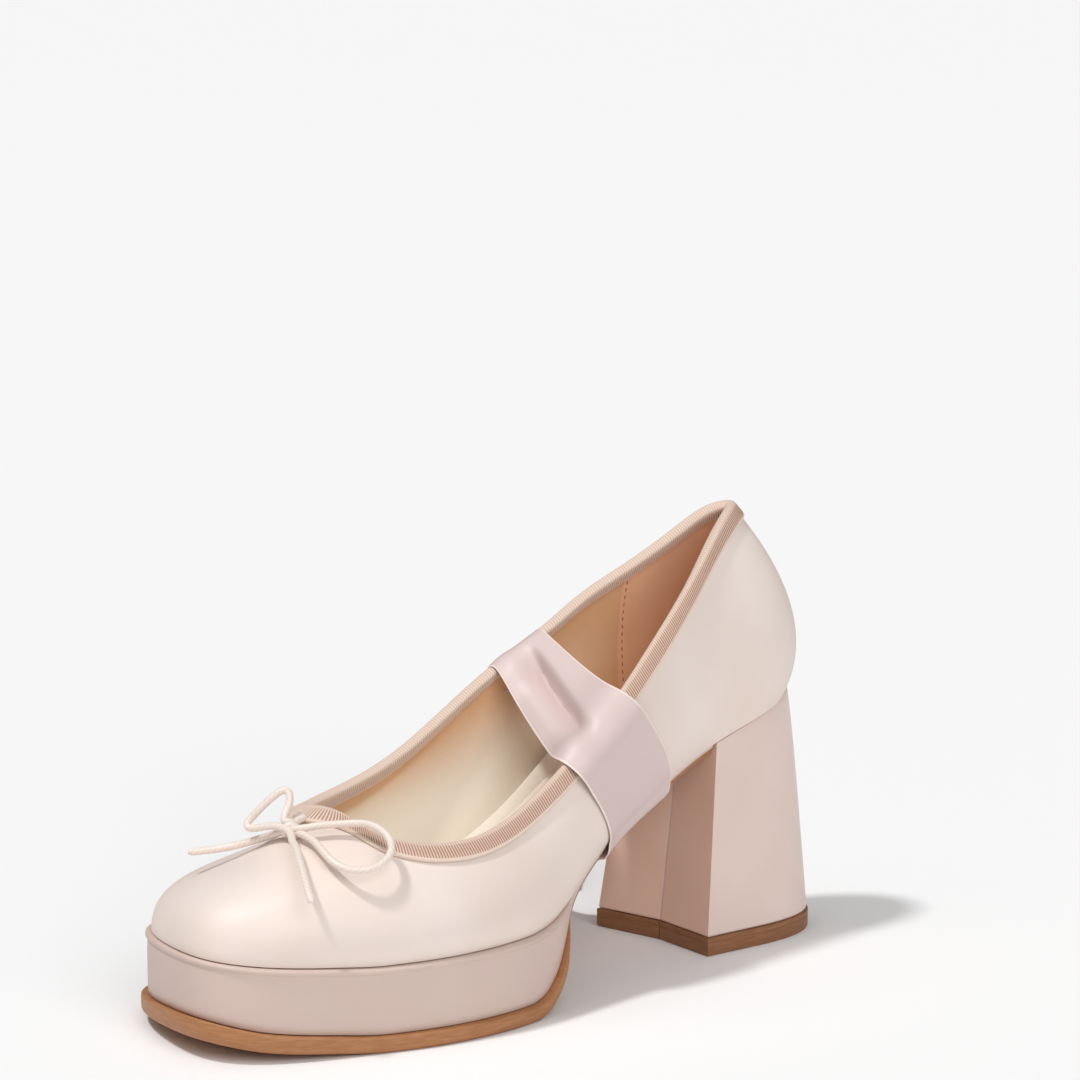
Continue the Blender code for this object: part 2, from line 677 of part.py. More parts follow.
def strap_down_far():
    """Rows of the strap from the medial topline a short way down its outside."""
    _, head = strap_columns("far")
    rows = []
    for distance in (2.2, 6.0, 10.0):
        point, normal = upper_surface(head, lambda length, d=distance: [d])
        clear = GAP + BINDING_THICK + RIBBON_PLAY
        rows.append(point[:, 0] + normal[:, 0] * clear)
    return rows


def thicken(rows):
    """Closed sections of a ribbon from rows across it: rows lie on its inner face."""
    grid = np.array(rows)
    along = np.gradient(grid, axis=0)
    across = np.gradient(grid, axis=1)
    normal = unit(np.cross(across, along))
    outer = grid + normal * RIBBON_THICK
    return [np.vstack([grid[i], outer[i][::-1]]) for i in range(len(grid))]


def build_strap():
    """Ribbon held to the shoe: under the waist, up the lateral quarter, over the opening, out."""
    quarter = strap_on_quarter(np.linspace(0.06, 0.96, 8))
    rows = strap_under_waist() + quarter + strap_over_opening() + strap_down_far()
    return finish("ribbon_strap", ring_body(thicken(rows), closed=False), "ribbon", 0.4, 60.0)


def laid_end(drop, folds):
    """Middle line and half-width vectors of a free end: its drop, then its folds on the ground."""
    rows = list(spline(drop, np.linspace(0.0, len(drop) - 1, 3 * len(drop) - 2)))
    base = drop[-1][2]
    start = np.array(drop[-1][:2])
    side = None
    for index, fold in enumerate(folds):
        goal = np.array(fold)
        heading = unit(goal - start)
        before = side
        side = np.array([-heading[1], heading[0]]) * RIBBON_WIDTH / 2
        if side[0] < 0.0:
            side = -side
        floor = base + index * LAYER_RISE
        if index:
            for turn in (0.25, 0.5, 0.75):
                angle = math.pi * turn
                x, y = start - heading * FOLD_BULGE * math.sin(angle)
                height = floor - LAYER_RISE * (1.0 + math.cos(angle)) / 2
                lean = before + (side - before) * turn
                rows.append([x, y, height, lean[0], lean[1], 0.0])
        for share in (0.0, 0.06, 0.2, 0.35, 0.5, 0.65, 0.8, 0.94, 1.0):
            if share or index:
                x, y = start + (goal - start) * share
                hump = LAYER_HUMP * math.sin(math.pi * share)
                rows.append([x, y, floor + hump, side[0], side[1], 0.0])
        start = goal
    return np.array(rows)


def build_free_end(name, drop, folds):
    """One free ribbon end as a thin closed strip, lying in loose folds beside the shoe."""
    rows = laid_end(drop, folds)
    middle = rows[:, :3]
    half = rows[:, 3:]
    normal = unit(np.cross(np.gradient(middle, axis=0), half)) * RIBBON_THICK / 2
    sections = [
        np.array([m - h - n, m + h - n, m + h + n, m - h + n])
        for m, h, n in zip(middle, half, normal)
    ]
    return finish(name, ring_body(sections, closed=False), "ribbon", 0.4, 60.0)


# ---------------------------------------------------------------- bow
def build_bow():
    """Cord bow at the middle of the throat: a knot, two loops and two ends."""
    bm = bmesh.new()
    bmesh.ops.create_icosphere(bm, subdivisions=2, radius=1.0)
    centre = world([KNOT_CENTRE])[0]
    for vert in bm.verts:
        vert.co = [centre[k] + vert.co[k] * KNOT_SIZE[k] * MM for k in range(3)]
    finish("bow_knot", bm, "cord", 0.5)
    centre = np.array(KNOT_CENTRE)
    reach = np.array(KNOT_SIZE) + 1.5 * GAP

    def leave(point):
        """Where a cord toward a point leaves the knot."""
        toward = unit(np.array(point) - centre)
        return tuple(centre + toward / np.linalg.norm(toward / reach))

    for name, route in (("bow_tail_medial", BOW_TAIL_MEDIAL), ("bow_tail_lateral", BOW_TAIL_LATERAL)):
        cord(name, (leave(route[0]), *route), "cord")
    for name, route in (("bow_loop_medial", BOW_LOOP_MEDIAL), ("bow_loop_lateral", BOW_LOOP_LATERAL)):
        cord(name, (leave(route[0]), *route, leave(route[-1])), "cord")


def build_all():
    """Clear the scene and build every piece."""
    for old in list(bpy.data.objects):
        bpy.data.objects.remove(old, do_unlink=True)
    build_outsole()
    build_platform()
    build_heel_block()
    build_heel_top_piece()
    build_upper()
    build_binding()
    build_insole()
    build_strap()
    build_free_end("ribbon_end_upper", UPPER_END_DROP, UPPER_END_FOLDS)
    build_free_end("ribbon_end_lower", LOWER_END_DROP, LOWER_END_FOLDS)
    build_bow()


build_all()
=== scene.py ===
"""Platform pump, left shoe: satin over upper, platform and heel, ribbed tape, bow and ribbon."""

import logging
import math
from dataclasses import dataclass
from enum import Enum
from typing import Callable, Sequence

import bmesh
import bpy
import numpy as np
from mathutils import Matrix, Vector


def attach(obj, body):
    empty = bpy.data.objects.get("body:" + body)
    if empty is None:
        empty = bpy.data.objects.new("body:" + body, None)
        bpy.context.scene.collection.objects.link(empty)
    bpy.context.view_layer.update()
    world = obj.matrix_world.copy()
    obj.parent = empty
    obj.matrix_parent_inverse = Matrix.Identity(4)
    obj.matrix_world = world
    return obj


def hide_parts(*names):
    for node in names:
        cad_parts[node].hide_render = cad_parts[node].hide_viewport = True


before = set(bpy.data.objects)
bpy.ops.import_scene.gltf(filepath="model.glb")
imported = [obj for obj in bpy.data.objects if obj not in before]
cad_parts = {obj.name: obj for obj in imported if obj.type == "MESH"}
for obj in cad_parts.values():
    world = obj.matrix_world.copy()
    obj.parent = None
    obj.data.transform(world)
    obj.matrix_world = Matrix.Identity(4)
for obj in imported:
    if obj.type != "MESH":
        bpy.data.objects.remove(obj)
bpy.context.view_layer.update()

LOG = logging.getLogger("platform_pump")
MM = 0.001
ONE_BAND = math.pi / 10.0      # a wave texture at this scale repeats once a unit
Array = np.ndarray

# Middle of the shoe in its makers' millimetres, which count from the back of the heel.
CENTRE = np.array([117.85, -6.75, 0.0])

# Round the feather edge from the heel's back, along the lateral side, the toe and the medial side.
# Columns: edge x, y; topline x, y, z; lower handle out, up; upper handle out, up.
UPPER_ROWS = (
    (2.0, 0.0, 23.4, 1.2, 133.6, 9.0, 18.0, 10.5, -13.0),        # heel back
    (9.5, 12.8, 29.0, 6.6, 132.8, 10.0, 18.0, 10.0, -12.5),
    (25.5, 19.5, 40.5, 11.6, 126.4, 7.0, 16.0, 5.0, -13.5),
    (48.0, 19.0, 57.5, 16.2, 112.4, 5.5, 12.0, 6.5, -9.0),      # lateral, over the breast
    (73.5, 22.0, 82.5, 21.8, 93.6, 6.5, 9.5, 7.0, -6.5),
    (101.0, 26.0, 107.0, 25.5, 76.0, 6.0, 9.0, 5.0, -5.5),
    (127.0, 33.5, 131.0, 26.0, 61.0, 5.0, 10.0, 5.0, -5.5),
    (151.0, 37.5, 152.5, 27.0, 54.6, 5.0, 11.0, 5.0, -4.5),      # lateral ball
    (175.0, 35.0, 169.0, 22.6, 54.6, 5.0, 12.0, 6.5, -4.5),
    (198.0, 27.0, 178.5, 13.2, 57.4, 4.5, 14.0, 12.0, -5.0),
    (218.5, 17.5, 180.5, 3.0, 61.0, 4.0, 15.5, 18.5, -7.0),
    (231.5, 4.5, 182.0, -5.5, 62.5, 2.5, 18.0, 21.0, -10.0),     # toe
    (231.0, -13.5, 182.0, -13.5, 61.5, 1.5, 20.0, 16.0, -14.0),
    (223.0, -34.0, 180.0, -21.5, 59.4, 1.0, 21.0, 7.0, -16.5),
    (211.0, -47.0, 172.0, -28.5, 57.4, 1.0, 21.0, 2.5, -16.0),
    (195.5, -51.0, 157.0, -34.0, 57.8, 2.5, 19.0, 2.5, -14.0),   # medial ball
    (174.5, -46.5, 132.0, -34.0, 64.6, 4.5, 16.0, 3.0, -12.5),
    (151.0, -37.5, 107.0, -31.0, 79.6, 5.0, 13.5, 3.5, -11.0),
    (126.0, -28.0, 90.0, -27.0, 91.0, 5.0, 12.0, 4.0, -10.0),
    (102.0, -22.0, 78.0, -23.0, 99.0, 6.0, 12.0, 4.0, -11.0),
    (75.0, -21.0, 66.5, -18.5, 108.0, 5.0, 13.0, 5.0, -12.0),
    (48.0, -20.0, 53.5, -13.2, 116.0, 4.5, 14.0, 5.5, -13.5),    # medial, over the breast
    (25.5, -20.0, 39.5, -7.8, 125.0, 5.0, 16.0, 7.0, -14.0),
    (9.5, -13.0, 28.8, -3.6, 131.8, 5.5, 17.0, 9.0, -13.5),
)

# Side profile of the bottom. Columns: x, feather edge height, tread height, outsole thickness.
SOLE_ROWS = (
    (-6.0, 80.2, 76.6, 2.0),
    (20.0, 72.6, 69.0, 2.0),
    (45.0, 65.2, 61.6, 2.0),
    (68.0, 57.3, 53.7, 2.0),
    (88.0, 49.2, 45.6, 2.0),
    (104.0, 40.4, 36.4, 2.0),     # waist
    (110.0, 36.7, 32.2, 2.4),
    (116.0, 33.1, 26.0, 3.4),     # back of the platform
    (122.0, 29.9, 15.5, 4.2),
    (128.0, 27.4, 5.8, 4.6),
    (134.0, 26.1, 1.3, 4.7),
    (140.0, 25.5, 0.0, 4.7),
    (190.0, 25.0, 0.0, 4.8),      # end of the flat tread
    (205.0, 26.0, 1.2, 5.0),
    (222.0, 27.6, 3.0, 5.4),
    (236.0, 29.8, 6.4, 6.0),
    (250.0, 33.6, 10.6, 6.4),     # toe spring
)

# Free ribbon ends from the shoe to the ground: middle of the ribbon and half its width as a vector.
# Columns: x, y, z, half_x, half_y, half_z.
UPPER_END_DROP = (
    (89.9, -30.2, 82.6, 8.3, -2.5, -5.0),
    (88.0, -32.0, 76.5, 11.5, -3.0, -7.0),
    (84.0, -35.5, 64.0, 15.8, -4.0, -7.6),
    (79.0, -40.5, 46.0, 17.4, -5.6, -4.8),
    (73.5, -46.5, 26.0, 16.6, -8.8, -2.0),
    (67.0, -54.5, 9.5, 15.0, -11.6, 0.0),
    (57.0, -66.0, 1.8, 13.9, -13.0, 0.0),
)
LOWER_END_DROP = (
    (86.2, -21.2, 45.4, 16.2, -0.6, -7.7),
    (86.8, -24.5, 44.2, 16.5, -0.8, -7.6),
    (88.5, -28.6, 38.5, 17.0, -2.0, -7.6),
    (93.0, -33.0, 28.0, 17.4, -3.6, -6.0),
    (101.0, -40.0, 14.5, 17.2, -7.0, -3.0),
    (107.5, -52.0, 4.6, 16.0, -10.0, -0.8),
    (107.0, -67.0, 1.2, 14.4, -12.4, 0.0),
    (101.0, -82.0, 0.9, 13.9, -13.0, 0.0),
)
# Where each end folds back on itself on the ground, in order, ending at its cut edge.
# Columns: x, y.
UPPER_END_FOLDS = (
    (-54.0, -183.0), (44.0, -74.0), (-57.0, -176.0), (38.0, -82.0), (-53.0, -187.0), (20.0, -96.0),
)
LOWER_END_FOLDS = (
    (35.0, -144.0), (101.0, -78.0), (29.0, -149.0), (105.0, -72.0),
    (34.0, -142.0), (98.0, -79.0), (39.0, -145.0),
)

# Cord bow: from the tape through the knot, round a loop, back through the knot and out to the end.
# Columns: x, y, z.
BOW_CORD_LATERAL = (
    (189.4, -5.2, 61.8), (192.4, -5.2, 61.2), (195.2, -4.6, 60.4), (196.8, -2.8, 60.0),
    (196.4, 0.0, 60.4), (194.0, 2.5, 61.0), (190.8, 5.5, 61.6), (186.8, 9.3, 62.0),
    (183.9, 14.1, 62.4), (182.8, 18.9, 61.7), (182.2, 22.5, 59.6), (183.8, 25.7, 57.3),
    (186.8, 27.3, 55.2), (190.2, 27.3, 53.7), (193.6, 26.1, 52.9), (196.3, 23.7, 52.8),
    (198.2, 20.1, 53.6), (198.6, 15.5, 55.3), (197.4, 9.7, 57.4), (196.5, 3.6, 58.8),
    (196.6, -2.4, 59.3), (196.8, -6.4, 58.6), (197.0, -10.4, 57.0), (198.4, -15.6, 54.8),
    (202.4, -22.0, 52.3), (207.2, -27.0, 51.0), (212.2, -31.0, 50.5),
)
BOW_CORD_MEDIAL = (
    (189.2, -7.4, 61.9), (192.2, -6.6, 61.2), (195.0, -5.4, 60.6), (196.6, -5.9, 61.6),
    (195.6, -6.9, 63.4), (193.8, -7.4, 65.6), (192.6, -8.6, 68.4), (193.2, -10.2, 69.4),
    (195.4, -12.0, 67.8), (198.2, -14.4, 64.4), (200.2, -16.4, 61.4), (201.6, -16.9, 59.6),
    (201.6, -15.4, 58.7), (200.6, -12.4, 59.2), (199.7, -10.0, 59.9), (198.6, -6.4, 60.3),
    (198.4, -2.6, 59.9), (199.4, 0.2, 59.1), (201.0, 2.6, 58.2), (203.0, 6.6, 57.1),
    (205.8, 11.2, 55.4), (209.4, 17.4, 52.7), (212.3, 22.4, 50.1), (214.3, 26.7, 47.3),
)


# ---------------------------------------------------------------- curves
def spline(rows: Sequence, at: Array, closed: bool = False) -> Array:
    """Smooth curve through rows, one a step.

    Args:
        rows: the points that it passes through, with any columns.
        at: where to read it, counted in rows.
        closed: whether the last row leads back to the first.

    Returns:
        One row of columns for each place read.
    """
    knots = np.array(rows, dtype=float)
    if closed:
        knots = np.vstack([knots, knots[:1]])
    count = len(knots)
    system = np.zeros((count, count))
    right = np.zeros_like(knots)
    for i in range(1, count - 1):
        system[i, i - 1:i + 2] = (1.0, 4.0, 1.0)
        right[i] = 6.0 * (knots[i - 1] - 2.0 * knots[i] + knots[i + 1])
    if closed:
        system[0, [0, 1, count - 2]] = (4.0, 1.0, 1.0)
        right[0] = 6.0 * (knots[-2] - 2.0 * knots[0] + knots[1])
        system[-1, [0, count - 1]] = (-1.0, 1.0)
    else:
        system[0, 0] = 1.0
        system[-1, -1] = 1.0
    bend = np.linalg.solve(system, right)
    at = np.asarray(at, dtype=float)
    if closed:
        at = at % (count - 1)
    i = np.clip(at.astype(int), 0, count - 2)
    b = (at - i)[:, None]
    a = 1.0 - b
    return a * knots[i] + b * knots[i + 1] + ((a**3 - a) * bend[i] + (b**3 - b) * bend[i + 1]) / 6.0


def unit(vectors: Array) -> Array:
    """Return each row at length one."""
    return vectors / np.maximum(np.linalg.norm(vectors, axis=-1, keepdims=True), 1e-12)


def run_length(points: Array) -> Array:
    """Return the distance along a line of points at each of them."""
    return np.concatenate([[0.0], np.cumsum(np.linalg.norm(np.diff(points, axis=0), axis=1))])


def bell(x: Array, middle: float, width: float) -> Array:
    """Return a soft bump of height one at the middle."""
    return np.exp(-(((x - middle) / width) ** 2))


def ease(x: Array) -> Array:
    """Return a smooth step from 0 at 0 to 1 at 1."""
    x = np.clip(x, 0.0, 1.0)
    return x * x * (3.0 - 2.0 * x)


# ---------------------------------------------------------------- the form of the shoe
class Side(Enum):
    """Which side of the shoe, seen by its wearer."""

    LATERAL = 1
    MEDIAL = -1


@dataclass(frozen=True)
class Form:
    """The shoe's form: curved rails from topline to feather edge, and the bottom's profile."""

    rows: tuple = UPPER_ROWS
    profile: tuple = SOLE_ROWS
    rail_points: int = 41

    def height(self, x: Array, column: int) -> Array:
        """Read the side profile at x without overshoot.

        Args:
            x: distances from the heel's back.
            column: 1 feather edge, 2 tread, 3 outsole thickness.

        Returns:
            The column's values there.
        """
        table = np.array(self.profile)
        xs = table[:, 0]
        ys = table[:, column]
        step = np.diff(xs)
        rise = np.diff(ys) / step
        slope = np.zeros(len(xs))
        slope[0] = rise[0]
        slope[-1] = rise[-1]
        same = rise[:-1] * rise[1:] > 0.0
        mean = 2.0 * rise[:-1] * rise[1:] / np.where(same, rise[:-1] + rise[1:], 1.0)
        slope[1:-1] = np.where(same, mean, 0.0)
        x = np.clip(np.asarray(x, dtype=float), xs[0], xs[-1])
        i = np.clip(np.searchsorted(xs, x) - 1, 0, len(step) - 1)
        t = (x - xs[i]) / step[i]
        return (
            ys[i] * (1 + 2 * t) * (1 - t) ** 2
            + slope[i] * step[i] * t * (1 - t) ** 2
            + ys[i + 1] * t**2 * (3 - 2 * t)
            + slope[i + 1] * step[i] * t**2 * (t - 1)
        )

    def plan(self, stations: Array) -> tuple[Array, Array]:
        """Return the columns of the upper at stations and the outward direction in plan.

        Args:
            stations: places round the shoe.

        Returns:
            The columns of UPPER_ROWS and unit vectors, a row for each station.
        """
        columns = spline(self.rows, stations, closed=True)
        ahead = spline(self.rows, np.asarray(stations) + 0.02, closed=True)
        along = unit(ahead[:, :2] - columns[:, :2])
        return columns, np.column_stack([-along[:, 1], along[:, 0], np.zeros(len(along))])

    def feather(self, stations: Array) -> tuple[Array, Array]:
        """Return points of the feather edge and their outward directions."""
        columns, outward = self.plan(stations)
        return np.column_stack([columns[:, :2], self.height(columns[:, 0], 1)]), outward

    def rails(self, stations: Array) -> Array:
        """Return the outer surface's rails, from the topline down to the feather edge.

        Args:
            stations: places round the shoe.

        Returns:
            Points, a row of them for each station.
        """
        columns, outward = self.plan(stations)
        edge = np.column_stack([columns[:, :2], self.height(columns[:, 0], 1)])
        up = np.array([0.0, 0.0, 1.0])
        low = edge + outward * columns[:, 5:6] + up * columns[:, 6:7]
        high = columns[:, 2:5] + outward * columns[:, 7:8] + up * columns[:, 8:9]
        t = np.linspace(0.0, 1.0, self.rail_points)[None, :, None]
        return (
            (1 - t) ** 3 * columns[:, None, 2:5]
            + 3 * (1 - t) ** 2 * t * high[:, None]
            + 3 * (1 - t) * t**2 * low[:, None]
            + t**3 * edge[:, None]
        )

    def skin(self, stations: Array, down: Callable[[Array], Array]) -> tuple[Array, Array, Array]:
        """Place points on the upper's outer surface.

        Args:
            stations: places round the shoe.
            down: gives distances below the topline from a column of the rails' lengths.

        Returns:
            Points, outward normals and those distances, a row for each station.
        """
        stations = np.asarray(stations, dtype=float)
        dense = self.rails(np.concatenate([stations, stations + 0.05]))
        runs = [run_length(rail) for rail in dense[:len(stations)]]
        distances = np.atleast_1d(down(np.array([[run[-1]] for run in runs])))
        distances = np.broadcast_to(distances, (len(stations), distances.shape[-1]))
        points, normals = [], []
        for rail, other, run, distance in zip(dense, dense[len(stations):], runs, distances):
            normal = unit(np.cross(other - rail, np.gradient(rail, axis=0)))
            points.append(np.column_stack([np.interp(distance, run, rail[:, k]) for k in range(3)]))
            normals.append(unit(np.column_stack(
                [np.interp(distance, run, normal[:, k]) for k in range(3)])))
        return np.array(points), np.array(normals), distances

    def station_at(self, x: float, side: Side) -> float:
        """Return the station where the feather edge reaches x on one side.

        Args:
            x: distance from the heel's back.
            side: the side that it is wanted on.

        Returns:
            The station.
        """
        half = len(self.rows) / 2
        stations = np.linspace(0.0, half - 1.5, 400)
        if side is Side.MEDIAL:
            stations = len(self.rows) - stations
        return float(np.interp(x, self.plan(stations)[0][:, 0], stations))

    def stations(self, count: int) -> Array:
        """Return stations once round the shoe, the first repeated at the end."""
        return np.linspace(0.0, len(self.rows), count + 1)

    def topline(self) -> tuple[Array, Array]:
        """Return close stations once round the shoe and the topline's length up to each."""
        fine = self.stations(2400)
        return fine, run_length(self.plan(fine)[0][:, 2:5])

    def even_stations(self, count: int) -> Array:
        """Return stations spaced evenly along the topline, the first repeated at the end."""
        fine, run = self.topline()
        return np.interp(np.linspace(0.0, run[-1], count + 1), run, fine)


FORM = Form()


# ---------------------------------------------------------------- meshes
@dataclass
class Patch:
    """A sheet of points that a created grid is laid on, and where they lie when it is cut flat."""

    points: Array
    flat: Array

    def mesh(self, cap_ends: bool = False) -> bmesh.types.BMesh:
        """Lay a grid on the points, join edges that meet, and fill the ends of a tube if asked.

        Args:
            cap_ends: whether its first and last row are each closed by a face.

        Returns:
            The new mesh, with the cut-flat coordinates as its UV map.
        """
        rows, columns = self.points.shape[:2]
        bm = bmesh.new()
        bmesh.ops.create_grid(bm, x_segments=rows - 1, y_segments=columns - 1, size=1.0)
        layer = bm.loops.layers.uv.new("flat")
        places = {}
        for vert in bm.verts:
            i = round((vert.co.x + 1.0) / 2.0 * (rows - 1))
            j = round((vert.co.y + 1.0) / 2.0 * (columns - 1))
            places[vert.index] = (i, j)
            vert.co = (self.points[i, j] - CENTRE) * MM
        for face in bm.faces:
            for loop in face.loops:
                loop[layer].uv = self.flat[places[loop.vert.index]] * MM
        bmesh.ops.remove_doubles(bm, verts=bm.verts, dist=2e-6)
        if cap_ends:
            open_edges = [edge for edge in bm.edges if edge.is_boundary]
            bmesh.ops.holes_fill(bm, edges=open_edges, sides=0)
        bmesh.ops.recalc_face_normals(bm, faces=bm.faces)
        return bm


def flat_of(points: Array) -> Array:
    """Return cut-flat coordinates of a sheet: lengths along its middle row and column.

    Args:
        points: the sheet, in rows and columns.

    Returns:
        Lengths along and across for each point.
    """
    rows, columns = points.shape[:2]
    along = run_length(points[:, columns // 2])
    across = run_length(points[rows // 2])
    return np.stack(np.meshgrid(along, across, indexing="ij"), axis=-1)


def shell(outer: Array, inner: Array) -> Patch:
    """Return the closed sheet that goes down an outer surface and back up an inner one."""
    points = np.concatenate([outer, inner[:, ::-1], outer[:, :1]], axis=1)
    return Patch(points, flat_of(points))


def keep(name: str, bm: bmesh.types.BMesh, finish: "Finish",
         stands_for: Sequence[str] = (), sharp: float = 50.0) -> bpy.types.Object:
    """Make a mesh a piece of the shoe.

    Args:
        name: the piece's plain name.
        bm: its mesh, used up here.
        finish: what it is made of.
        stands_for: the CAD nodes that it replaces.
        sharp: edges that turn more than this many degrees stay crisp.

    Returns:
        The new object, riding on the shoe.
    """
    mesh = bpy.data.meshes.new(name)
    bm.to_mesh(mesh)
    bm.free()
    mesh.shade_smooth()
    mesh.set_sharp_from_angle(angle=math.radians(sharp))
    piece = bpy.data.objects.new(name, mesh)
    bpy.context.scene.collection.objects.link(piece)
    mesh.materials.append(finish.material())
    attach(piece, "root")
    if stands_for:
        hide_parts(*stands_for)
    LOG.info("%s: %d faces", name, len(mesh.polygons))
    return piece


# ---------------------------------------------------------------- finishes
def linear(colour: str) -> tuple[float, float, float, float]:
    """Turn an sRGB hex colour into linear light."""
    parts = [int(colour[k:k + 2], 16) / 255.0 for k in (1, 3, 5)]
    return (*(p / 12.92 if p <= 0.04045 else ((p + 0.055) / 1.055) ** 2.4 for p in parts), 1.0)


def add(tree: bpy.types.NodeTree, kind: str, settings: dict, inputs: dict) -> bpy.types.Node:
    """Add one node.

    Args:
        tree: where it goes.
        kind: its Blender type.
        settings: its properties.
        inputs: socket to value, or to (node, output) for a link.

    Returns:
        The new node.
    """
    node = tree.nodes.new(kind)
    for key, value in settings.items():
        setattr(node, key, value)
    for key, value in inputs.items():
        if isinstance(value, tuple) and isinstance(value[0], bpy.types.Node):
            tree.links.new(value[0].outputs[value[1]], node.inputs[key])
        else:
            node.inputs[key].default_value = value
    return node


@dataclass(frozen=True)
class Finish:
    """What a surface is made of; each kind adds its own nodes to a Principled shader."""

    name: str
    colour: str
    shade: str
    roughness: float

    def material(self) -> bpy.types.Material:
        """Make the finish's material the first time it is asked for.

        Returns:
            The material.
        """
        made = bpy.data.materials.get(self.name)
        if made is None:
            made = bpy.data.materials.new(self.name)
            made.use_nodes = True
            shader = made.node_tree.nodes["Principled BSDF"]
            shader.inputs["Roughness"].default_value = self.roughness
            self.dress(made.node_tree, shader)
        return made

    def dress(self, tree: bpy.types.NodeTree, shader: bpy.types.Node) -> None:
        """Add the finish's nodes; each kind of finish has its own."""
        raise NotImplementedError

    def grain(self, tree: bpy.types.NodeTree, size_mm: float, detail: float) -> bpy.types.Node:
        """Add an even noise through the body.

        Args:
            tree: the material's nodes.
            size_mm: the size of its features.
            detail: how many finer steps it has.

        Returns:
            The noise.
        """
        coordinate = add(tree, "ShaderNodeTexCoord", {}, {})
        return add(tree, "ShaderNodeTexNoise", {}, {
            "Vector": (coordinate, "Object"), "Scale": 1.0 / (size_mm * MM), "Detail": detail})

    def flat_mm(self, tree: bpy.types.NodeTree, along_mm: float,
                across_mm: float) -> bpy.types.Node:
        """Add the cut-flat coordinates in units of a length.

        Args:
            tree: the material's nodes.
            along_mm: the unit along the cloth.
            across_mm: the unit across it.

        Returns:
            The coordinates.
        """
        coordinate = add(tree, "ShaderNodeTexCoord", {}, {})
        return add(tree, "ShaderNodeMapping", {}, {
            "Vector": (coordinate, "UV"),
            "Scale": (1.0 / (along_mm * MM), 1.0 / (across_mm * MM), 1.0)})

    def threads(self, tree: bpy.types.NodeTree, along_mm: float,
                across_mm: float) -> bpy.types.Node:
        """Add thread streaks of a given length and thickness, laid along the cut-flat cloth."""
        return add(tree, "ShaderNodeTexNoise", {"noise_dimensions": "2D"}, {
            "Vector": (self.flat_mm(tree, along_mm, across_mm), 0), "Scale": 1.0, "Detail": 2.0})

    def bands(self, tree: bpy.types.NodeTree, direction: str, pitch_mm: tuple[float, float],
              start: float = 0.0) -> bpy.types.Node:
        """Add even bands on the cut-flat cloth.

        Args:
            tree: the material's nodes.
            direction: across which axis they lie, or DIAGONAL.
            pitch_mm: from band to band, along and across the cloth.
            start: how far into a band they begin.

        Returns:
            The bands.
        """
        return add(tree, "ShaderNodeTexWave", {
            "wave_type": "BANDS", "bands_direction": direction}, {
            "Vector": (self.flat_mm(tree, *pitch_mm), 0), "Scale": ONE_BAND, "Distortion": 0.0,
            "Phase Offset": start})

    def place(self, tree: bpy.types.NodeTree, space: str) -> bpy.types.Node:
        """Add the separate coordinates of a space, UV or Object."""
        coordinate = add(tree, "ShaderNodeTexCoord", {}, {})
        return add(tree, "ShaderNodeSeparateXYZ", {}, {"Vector": (coordinate, space)})

    def math(self, tree: bpy.types.NodeTree, operation: str, first: object,
             second: object) -> bpy.types.Node:
        """Add one sum on two values or outputs."""
        return add(tree, "ShaderNodeMath", {"operation": operation}, {0: first, 1: second})

    def rise(self, tree: bpy.types.NodeTree, value: tuple, start: float, end: float,
             how: str = "SMOOTHSTEP") -> bpy.types.Node:
        """Add a rise from 0 to 1 while a value goes from start to end."""
        return add(tree, "ShaderNodeMapRange", {"interpolation_type": how}, {
            "Value": value, "From Min": start, "From Max": end})

    def mix(self, tree: bpy.types.NodeTree, share: tuple, first: object,
            second: object) -> bpy.types.Node:
        """Add a mix of two colours."""
        return add(tree, "ShaderNodeMix", {"data_type": "RGBA"}, {0: share, 6: first, 7: second})

    def mottle(self, tree: bpy.types.NodeTree, patch_mm: float, contrast: float) -> bpy.types.Node:
        """Add a soft drift between the finish's two colours.

        Args:
            tree: the material's nodes.
            patch_mm: the size of a patch.
            contrast: how softly one colour turns into the other.

        Returns:
            The mix.
        """
        noise = self.grain(tree, patch_mm, 3.0)
        share = self.rise(tree, (noise, "Fac"), 0.5 - contrast, 0.5 + contrast, "LINEAR")
        return self.mix(tree, (share, "Result"), linear(self.colour), linear(self.shade))

    def relief(self, tree: bpy.types.NodeTree, height: tuple, strength: float, depth_mm: float,
               over: bpy.types.Node | None = None) -> bpy.types.Node:
        """Add a relief of a given depth, over another one if there is one.

        Args:
            tree: the material's nodes.
            height: what stands up, as a node and its output.
            strength: share of the relief that shows.
            depth_mm: how deep it is.
            over: the relief that it lies on.

        Returns:
            The relief, whose output is a normal.
        """
        inputs = {"Height": height, "Strength": strength, "Distance": depth_mm * MM}
        if over is not None:
            inputs["Normal"] = (over, 0)
        return add(tree, "ShaderNodeBump", {}, inputs)

    def wear(self, tree: bpy.types.NodeTree, shader: bpy.types.Node, colour: bpy.types.Node,
             relief: bpy.types.Node, gloss: float, sheen: float = 0.0) -> None:
        """Join the colour, the relief, the gloss and the sheen of loose fibres to the shader.

        Args:
            tree: the material's nodes.
            shader: its Principled node.
            colour: the mix that gives the colour.
            relief: the finest relief.
            gloss: strength of the mirror gloss.
            sheen: strength of the sheen.
        """
        tree.links.new(colour.outputs[2], shader.inputs["Base Color"])
        tree.links.new(relief.outputs[0], shader.inputs["Normal"])
        shader.inputs["Specular IOR Level"].default_value = gloss
        shader.inputs["Sheen Weight"].default_value = sheen


